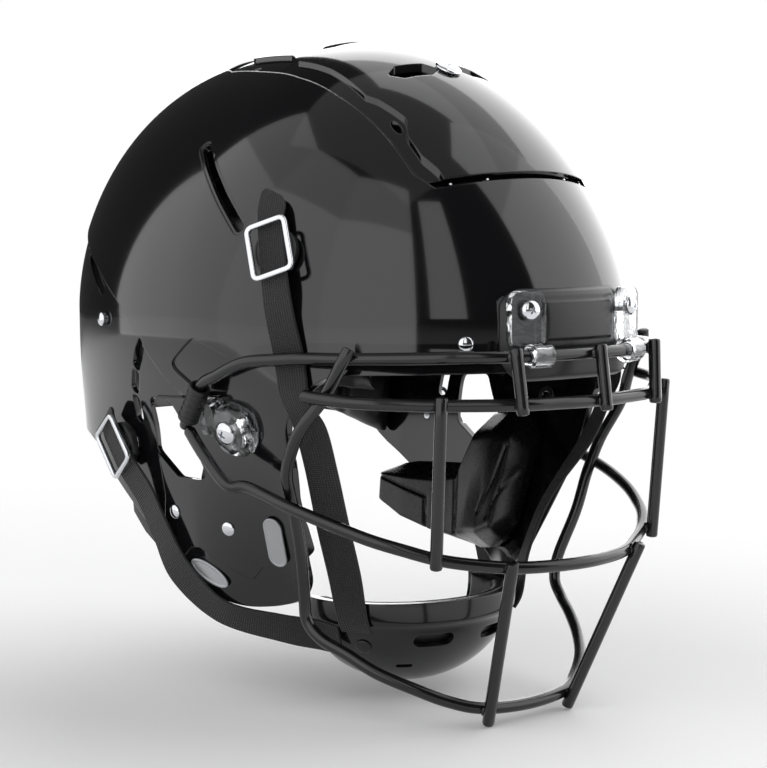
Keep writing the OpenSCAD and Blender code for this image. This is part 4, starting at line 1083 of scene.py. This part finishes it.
def top_place(xs, ys, seat):
    def at(u, v, k, t):
        h = 0.32 + 0.68 * fall(u) * fall(v)
        x, y = mix(xs[0], xs[1], u), mix(ys[0], ys[1], v)
        return np.stack([x, y, top_z(x, y, seat - k * t * h)], -1)
    return at


def cup_point(a, e, o, lip=0.0):
    a, e = np.radians(a), np.asarray(e, float)
    b = o + lip * smooth((e + 14) / 5)
    e = np.radians(e)
    return np.stack([(CUP_HALF_W + b) * np.sin(a) * np.cos(e), -39 - (CUP_DEPTH + b) * np.cos(a) * np.cos(e),
                     49 + (CUP_H + o) * np.sin(e)], -1)


# Grain of a pad's remesh and the most that its skin swells, in metres, and the frames it takes
PAD_VOXEL, PAD_SWELL, PAD_FRAMES = 0.0045, 0.0016, 20
CHANNEL_DEPTH = 0.38


def swell(o):
    """Remesh, blow up gently and hold every point close to where it started."""
    m = o.modifiers.new("even", "REMESH")
    m.mode, m.voxel_size = "VOXEL", PAD_VOXEL
    bake(o)
    start = coords(o.data)
    c = o.modifiers.new("fill", "CLOTH")
    s = c.settings
    s.quality, s.mass, s.use_pressure, s.uniform_pressure_force = 5, 0.15, True, 4.0
    s.tension_stiffness = s.compression_stiffness = 12
    s.bending_stiffness = 0.6
    s.effector_weights.gravity = 0
    c.point_cache.frame_start, c.point_cache.frame_end = 1, PAD_FRAMES
    scene = bpy.context.scene
    for f in range(1, PAD_FRAMES + 1):
        scene.frame_set(f)
    dg = bpy.context.evaluated_depsgraph_get()
    move = coords(o.evaluated_get(dg).data) - start
    o.modifiers.clear()
    scene.frame_set(1)
    length = np.linalg.norm(move, axis=1, keepdims=True)
    return replot(o, start + move * np.minimum(1, PAD_SWELL / np.maximum(length, 1e-9)))


def replot(o, points):
    o.data.vertices.foreach_set("co", points.astype(np.float32).ravel())
    o.data.update()
    return o


def pad(place, t, channels, body_uv, size=(40, 28)):
    """channels = positions along u, positions along v; body_uv gives u and v back from points in mm."""
    u, v = np.meshgrid(np.linspace(0.012, 0.988, size[0]), np.linspace(0.018, 0.982, size[1]))
    o = sheet_solid(place(u, v, 1.0, t * 0.9), place(u, v, 0.04, t))
    swell(outward(to_metres(o)))
    sub = o.modifiers.new("fine", "SUBSURF")
    sub.levels = sub.render_levels = 1
    bake(o)
    pts = coords(o.data) * 1000 - [0, SHIFT_Y, 0]
    pu, pv = body_uv(pts)
    shell_side, head_side = place(pu, pv, 0.0, t), place(pu, pv, 1.0, t)
    span = head_side - shell_side
    k = clamp(((pts - shell_side) * span).sum(1) / np.maximum((span * span).sum(1), 1e-6))
    groove = np.zeros(len(pts))
    for share, marks, sharp in ((pu, channels[0], 22), (pv, channels[1], 16)):
        for c in marks:
            groove = np.maximum(groove, np.exp(-((share - c) * sharp) ** 2))
    return replot(o, pts - span * (k * CHANNEL_DEPTH * groove)[:, None])


def ring_uv(a, z):
    def back(p):
        front = p[:, 1] < 0
        x = p[:, 0] + np.sign(p[:, 0]) * tuck(p[:, 0], p[:, 1], p[:, 2])
        ang = np.degrees(np.arctan2(p[:, 1] / reach(p[:, 2], 0, front), x / half_w(p[:, 2], 0)))
        u = clamp((ang - a[0]) / (a[1] - a[0]))
        return u, clamp((p[:, 2] - z[0](u)) / (z[1] - z[0](u)))
    return back


def flat_uv(xs, ys):
    return lambda p: (clamp((p[:, 0] - xs[0]) / (xs[1] - xs[0])), clamp((p[:, 1] - ys[0]) / (ys[1] - ys[0])))


def level(z):
    return lambda u: z


def neck_foot(u):
    """Lower edge of a neck pad, which rises towards the nape with the edge of the shell."""
    return mix(MID_Z - 78, MID_Z - 56, u ** 0.8)


SEAT, PAD_GIVE = -WALL - PAD_GAP - 0.4, 0.75
THIRDS, HALF = (1 / 3, 2 / 3), (0.5,)
for name, a, z, t, seat, channels in (
        ("front_pad", (-122, -58), (level(BROW_Z + 1), RECESS_FRONT_Z - 19), FRONT_PAD_T,
         -WALL - NUT_ROOM - 0.9, (THIRDS, ())),
        ("rear_pad", (50, 130), (level(MID_Z - 7), MID_Z + 59), PAD_T, SEAT, (THIRDS, HALF)),
        ("nape_pad", (56, 124), (level(MID_Z - 53), MID_Z - 13), PAD_T, SEAT, (THIRDS, ()))):
    o = pad(ring_place(a, z, seat), t, channels, ring_uv(a, z))
    settle(o, name, pad_skin, shading="round")
for name, a, z, channels, size in (
        ("side_pad", (-47, 42), (level(MID_Z - 31), MID_Z + 49), ((0.25, 0.5, 0.75), HALF), (40, 28)),
        ("neck_pad", (27, 53), (neck_foot, MID_Z - 36), (HALF, ()), (22, 22))):
    o = pad(ring_place(a, z, SEAT), PAD_T, channels, ring_uv(a, z), size)
    for o in settle_pair(o, name, pad_skin, shading="round"):
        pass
xs, ys = (-40, 40), (-48, 66)
o = pad(top_place(xs, ys, SEAT - RECESS), PAD_T, (HALF, (0.25, 0.5, 0.75)), flat_uv(xs, ys))
settle(o, "crown_pad", pad_skin, shading="round")


# Stations of the jaw pad: y, lower level, upper level and thickness as a share of the whole
JAW_STATIONS = [
    (-38, 74, 118, 0.5), (-33, 66, 128, 0.66), (-20, 60, 131, 0.74), (-7, 58, 128, 0.76), (4, 59, 102, 0.8),
    (20, 62, 99, 0.9), (38, 68, 98, 1), (54, 77, 97, 1), (64, 86, 95, 0.9)]
# Moulded grooves, as lines of y and z with their depth and half width
JAW_GROOVES = [
    ([(-32, 115), (-27.5, 97), (-19.5, 80)], 1.3, 0.9), ([(-36.5, 103), (-33, 92), (-29, 79)], 1.1, 0.9),
    ([(56, 93), (22, 84), (21, 66)], 1.0, 0.8), ([(3, 100), (1, 62)], 1.2, 1.0)]


def from_line(y, z, line):
    """Distance of points from a bent line."""
    p, best = np.stack([y, z], -1), np.full(y.shape, 1e9)
    for a, b in zip(np.array(line[:-1], float), np.array(line[1:], float)):
        t = clamp(((p - a) @ (b - a)) / ((b - a) @ (b - a)))
        best = np.minimum(best, np.linalg.norm(p - a - t[..., None] * (b - a), axis=-1))
    return best


def jaw_pad():
    """Firm moulded block with flat facets, bevelled rims and narrow grooves."""
    s = np.array(JAW_STATIONS)
    s[[0, -1], 3] *= 0.35
    parts = len(s) - 1
    u, v = np.meshgrid(np.linspace(0, 1, 145), np.linspace(0, 1, 81))
    i = np.minimum((u * parts).astype(int), parts - 1)
    y, z0, z1, share = (mix(s[i, c], s[i + 1, c], u * parts - i) for c in range(4))
    z = mix(z0, z1, v)
    t = JAW_PAD_T * share * np.minimum(1, 0.3 + 5 * np.minimum(v, 1 - v))
    for _ in range(5):
        t[1:-1] = (t[:-2] + 2 * t[1:-1] + t[2:]) / 4
        t[:, 1:-1] = (t[:, :-2] + 2 * t[:, 1:-1] + t[:, 2:]) / 4
    for line, depth, w in JAW_GROOVES:
        t = t - depth * np.exp(-(from_line(y, z, line) / w) ** 2)
    seat = -WALL - PAD_GAP - 0.8
    head = np.stack([side_x(y - 0.16 * t, z, seat - 0.98 * t), y - 0.16 * t, z], -1)
    return sheet_solid(head, np.stack([side_x(y, z, seat), y, z], -1))


for o in settle_pair(jaw_pad(), "jaw_pad", jaw_rubber):
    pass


# Small foam discs under the crown plate.
CUSHION_SEAT, CUSHION_KEEP = 0.1 - RECESS, 0.1
for k, (x, y) in enumerate(((30, -88), (38, -40), (30, 10), (16, 40), (12, -30))):
    for side, s in (("left", 1), ("right", -1)):
        p, up = shell_up(s * x, y)
        disc = lathe([(4.6, 0), (5, 0.15), (5, 1.05), (4.7, 1.2)], 28)
        put(disc, frame_at(p, up) @ Matrix.Translation(Vector((0, 0, CUSHION_SEAT))))
        o = settle(disc, "plate_cushion_%d_%s" % (k + 1, side), pad_skin, nodes=["plate_cushions"])
        seat = p + [0, SHIFT_Y, 0] + CUSHION_SEAT * up
        tuple(up)
        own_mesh(o)


# Chin cup
def cup_dir(a, e):
    a, e = math.radians(a), math.radians(e)
    out = math.cos(e)
    return unit([math.sin(a) * out / CUP_HALF_W, -math.cos(a) * out / CUP_DEPTH, math.sin(e) / CUP_H])


def bowl(o_in, o_out, lip, span, n, m):
    a, s = np.meshgrid(np.linspace(-span, span, n), np.linspace(0, 1, m))
    e = mix(4, -78, s ** 1.25)
    return cup_point(a, e, o_out, lip), cup_point(a, e, o_in), (a, s)


outer, inner, _ = bowl(-CUP_WALL, 0, 2, 104, 110, 50)
cup = sheet_solid(outer, inner)
for a, e, along, w in ((22, -22, 8, 7), (40, -44, 4, 3)):
    for s in (1, -1):
        ends = [s * (a - along), s * (a + along)]
        ends = [frame_at(cup_point(q, e, 0), cup_dir(q, e)) for q in ends]
        cup = combine(cup, capsule_cutter(ends, w, 6, 18))
settle(cup, "chin_cup", cup_plastic, "cup")

outer, inner, (la, ls) = bowl(-CUP_WALL - 8, -CUP_WALL - 0.8, 0, 98, 70, 34)
edge_fall = (np.maximum(0, 1 - np.abs(la / 98) ** 8) * np.maximum(0, 1 - np.abs(2 * ls - 1) ** 6)) ** 0.5
ribs = 1 - 0.25 * sum(np.exp(-((np.abs(la) - q) / 3.0) ** 2) for q in (34, 68))
depth = mix(0.45, 1.0, edge_fall) * ribs
o = sheet_solid(outer, mix(outer, inner, depth[..., None]))
settle(o, "chin_cup_liner", pad_skin, "cup", shading="round")

buttons = [put(dome(8, 1.4, 0.1, 4, 2.9), frame_at(cup_point(a, e, 0), cup_dir(a, e)))
           for a, e in ((64, -26), (86, -34))]
settle(both_sides(join(buttons)), "cup_rivets", nylon, "cup")


# Straps: flat webbing, each in two lengths that meet where the webbing leaves its snap cap
def on_shell(y, z, o, d):
    return over_side(y, z, o), side_tangent(y, z, d)


def on_cup(a, e, o):
    r = math.radians(a)
    return cup_point(a, e, 0) + o * cup_dir(a, e), np.array([-math.cos(r), -math.sin(r), 0])


UA, LA = (-0.94, -0.34), (0.79, -0.61)
upper_stations = [
    on_shell(-51.5, 243, 3, UA), on_shell(-56.5, 231, STRAP_LIFT, UA), on_shell(-62, 217, STRAP_LIFT, UA),
    on_shell(-66.5, 204, STRAP_LIFT, UA), on_shell(-69, 190, 3.4, (-0.98, -0.2)),
    on_shell(-72, 175, FREE_LIFT, (-1, -0.1)), on_shell(-75, 164, FREE_LIFT, (-1, -0.1)),
    on_shell(-77.5, 153, FREE_LIFT, (-1, -0.1)), ((97, -79.5, 140), (-0.5, -1, 0)),
    ((87.5, -76, 120), (-0.5, -1, 0)), ((71, -65, 91), (-0.62, -1, 0.2)), ((60.5, -61, 66), (-0.7, -1, 0.05)),
    on_cup(66, -4, 4.4), on_cup(65, -14, 1.8)]
lower_stations = [
    on_shell(65, 137, 3, LA), on_shell(59, 131, STRAP_LIFT, LA), on_shell(52, 122, STRAP_LIFT, LA),
    on_shell(44, 112, STRAP_LIFT, LA), on_shell(35, 99, 4.2, LA), on_shell(25, 83, 4.2, (0.8, -0.6)),
    ((100.5, 12, 63), (0.05, 0.78, -0.6)), ((90, -6, 45.5), (-0.2, 0.65, -0.75)),
    ((71, -27, 38), (-0.3, 0.3, -0.95)), (cup_point(88, -16, 0) + 5.5 * cup_dir(88, -16), (-0.25, 0, -1)),
    (cup_point(76, -20, 0) + 3 * cup_dir(76, -20), (-0.35, 0.1, -1))]


def ribbon(stations, first, last):
    """Webbing between two stations of a strap, rounded at its selvedges; UV in millimetres."""
    fine = 10
    a = spline([np.array(p) - STRAP_W / 2 * unit(d) for p, d in stations], fine)
    b = spline([np.array(p) + STRAP_W / 2 * unit(d) for p, d in stations], fine)
    n = len(a)
    mid = (a + b) / 2
    along = np.array([mid[min(n - 1, i + 1)] - mid[max(0, i - 1)] for i in range(n)])
    up = unit(np.cross(b - a, along))
    run = np.concatenate([[0], np.cumsum(np.linalg.norm(np.diff(mid, axis=0), axis=1))])
    half = [(-1, 0), (-0.985, 0.6), (-0.94, 0.95), (-0.5, 1), (0, 1), (0.5, 1), (0.94, 0.95), (0.985, 0.6)]
    sect = half + [(-s, -t) for s, t in half]
    rings, uv = [], []
    for i in range(first * fine, last * fine + 1):
        wide = 1 if first else 0.6 + 0.4 * min(1, run[i] / 4) ** 0.5
        rings.append([mid[i] + s * wide * (b[i] - a[i]) / 2 + t * STRAP_T / 2 * up[i] for s, t in sect])
        uv += [(s * STRAP_W / 2, run[i]) for s, t in sect]
    o = loft(rings)
    uv = np.array(uv, np.float32)[listed(o.data.loops, "vertex_index", kind=np.int32)]
    uv[-2 * len(sect):] = 0
    o.data.uv_layers.new(name="weave").data.foreach_set("uv", uv.ravel())
    return o


for where, stations, split, free in (("upper_", upper_stations, 4, 8), ("lower_", lower_stations, 4, 6)):
    for side, s in (("left", 1), ("right", -1)):
        def metres(k):
            x, y, z = stations[k][0]
            return Vector((s * x / 1000, (y + SHIFT_Y) / 1000, z / 1000))
        top, tail = ribbon(stations, 0, split), ribbon(stations, split, len(stations) - 1)
        if s < 0:
            mirror(top)
            mirror(tail)
        settle(top, where + "strap_end_" + side, webbing, None, ())
        settle(tail, where + "strap_" + side, webbing, None)
        metres(3)
        metres(4)
        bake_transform(top)
        metres(free)
        metres(-1)
        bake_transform(tail)


# Studio: a white floor, tall soft light walls round the helmet, and the camera of the photograph
VIEW_TURN, VIEW_PITCH, VIEW_SHIFT, VIEW_FAR, VIEW_Z = -42, 5.07, 14, 1110, 247
SENSOR, FOCAL_PIXELS, PICTURE_PIXELS = 36, 2221, 768
TO_RIGHT = Vector((math.cos(math.radians(VIEW_TURN)), math.sin(math.radians(VIEW_TURN)), 0))
TO_FRONT = Vector((math.sin(math.radians(VIEW_TURN)), -math.cos(math.radians(VIEW_TURN)), 0))


def box_light(name, place, facing, size, radiance):
    """Rectangular soft light with an even face; place and size in metres."""
    data = bpy.data.lights.new(name, "AREA")
    data.shape, data.size, data.size_y = "RECTANGLE", size[0], size[1]
    data.energy = 4 * radiance * size[0] * size[1]
    o = bpy.data.objects.new(name, data)
    bpy.context.scene.collection.objects.link(o)
    o.location = place
    o.rotation_euler = Vector(facing).to_track_quat("-Z", "Y").to_euler()


WALL_FAR, EYE_Z = 1.6, 0.2


def light_wall(name, start, end, low, top, radiance):
    """Upright light between two bearings, in degrees from the camera's side towards its right, and
    between two elevations."""
    mid, half = math.radians((start + end) / 2), math.radians((end - start) / 2)
    way = TO_FRONT * math.cos(mid) + TO_RIGHT * math.sin(mid)
    z0, z1 = (EYE_Z + WALL_FAR * math.tan(math.radians(e)) if e else 0 for e in (low, top))
    size = (2 * WALL_FAR * math.tan(half), z1 - z0)
    box_light(name, way * WALL_FAR + Vector((0, 0, (z0 + z1) / 2)), -way, size, radiance)


def seen(tree):
    """1 where the camera looks, also through the clear clips, and 0 in reflections."""
    ray = add(tree, "ShaderNodeLightPath").outputs
    links = {0: ray["Is Camera Ray"], 1: ray["Is Transmission Ray"]}
    return add(tree, "ShaderNodeMath", links, operation="MAXIMUM").outputs[0]


# Distances from the helmet, in metres, between which the floor turns white
PALE_TO, WHITE_FROM = 0.25, 0.85


def floor_material():
    """Pale matt floor round the helmet, which passes into an even white further out."""
    m = bpy.data.materials.new("white studio floor")
    tree = blank_tree(m)
    near = add(tree, "ShaderNodeBsdfDiffuse", Color=srgb("#f6f6f6"))
    far = add(tree, "ShaderNodeEmission", Color=srgb("#ffffff"))
    where = add(tree, "ShaderNodeTexCoord").outputs["Object"]
    reach_out = add(tree, "ShaderNodeVectorMath", {0: where}, operation="LENGTH").outputs["Value"]
    span = add(tree, "ShaderNodeMapRange", {"Value": reach_out}, interpolation_type="SMOOTHSTEP",
               **{"From Min": PALE_TO, "From Max": WHITE_FROM})
    share = add(tree, "ShaderNodeMath", {0: span.outputs[0], 1: seen(tree)}, operation="MULTIPLY").outputs[0]
    blend = add(tree, "ShaderNodeMixShader", {0: share, 1: near.outputs[0], 2: far.outputs[0]})
    add(tree, "ShaderNodeOutputMaterial", {0: blend.outputs[0]})
    return m


def studio():
    scene = bpy.context.scene
    scene.view_settings.view_transform = "Standard"
    floor = raw("floor", [(-3, -3, 0), (3, -3, 0), (3, 3, 0), (-3, 3, 0)], [(0, 1, 2, 3)])
    floor.data.materials.append(floor_material())

    world = bpy.data.worlds.new("studio surroundings")
    scene.world = world
    tree = blank_tree(world)
    dim = add(tree, "ShaderNodeBackground", Color=srgb("#ffffff"), Strength=0.04)
    white = add(tree, "ShaderNodeBackground", Color=srgb("#ffffff"), Strength=1.0)
    either = add(tree, "ShaderNodeMixShader", {0: seen(tree), 1: dim.outputs[0], 2: white.outputs[0]})
    add(tree, "ShaderNodeOutputWorld", {0: either.outputs[0]})

    for name, start, end, split, top, radiance, upper in (
            ("left_wall_rear", -116, -78, 46, 62, 0.97, 0.6014),
            ("left_wall_middle", -78, -40, 46, 62, 1.1, 0.682),
            ("left_wall_front", -40, -2, 46, 62, 1.2, 0.744),
            ("right_wall_front", 62, 118, 50, 73, 1.35, 1.0),
            ("right_wall_rear", 118, 190, 50, 73, 1.9, 0.9)):
        light_wall(name, start, end, 0, split, radiance)
        light_wall(name + "_top", start, end, split, top, upper)
    light_wall("front_strip", 4, 21, 4, 57, 0.95)
    box_light("top_box", (0, 0, 2.4), (0, 0, -1), (2.2, 2.2), 0.2)


def camera():
    """Camera fitted to the photograph: 42 degrees round from the front, a little above the brow."""
    place = VIEW_FAR * TO_FRONT + VIEW_SHIFT * TO_RIGHT + Vector((0, SHIFT_Y, VIEW_Z))
    pitch = math.radians(VIEW_PITCH)
    data = bpy.data.cameras.new("camera")
    data.sensor_width, data.lens = SENSOR, FOCAL_PIXELS / PICTURE_PIXELS * SENSOR
    o = bpy.data.objects.new("camera", data)
    bpy.context.scene.collection.objects.link(o)
    o.location = place / 1000
    aim = -TO_FRONT * math.cos(pitch) - Vector((0, 0, math.sin(pitch)))
    o.rotation_euler = aim.to_track_quat("-Z", "Y").to_euler()
    bpy.context.scene.camera = o


camera()
studio()
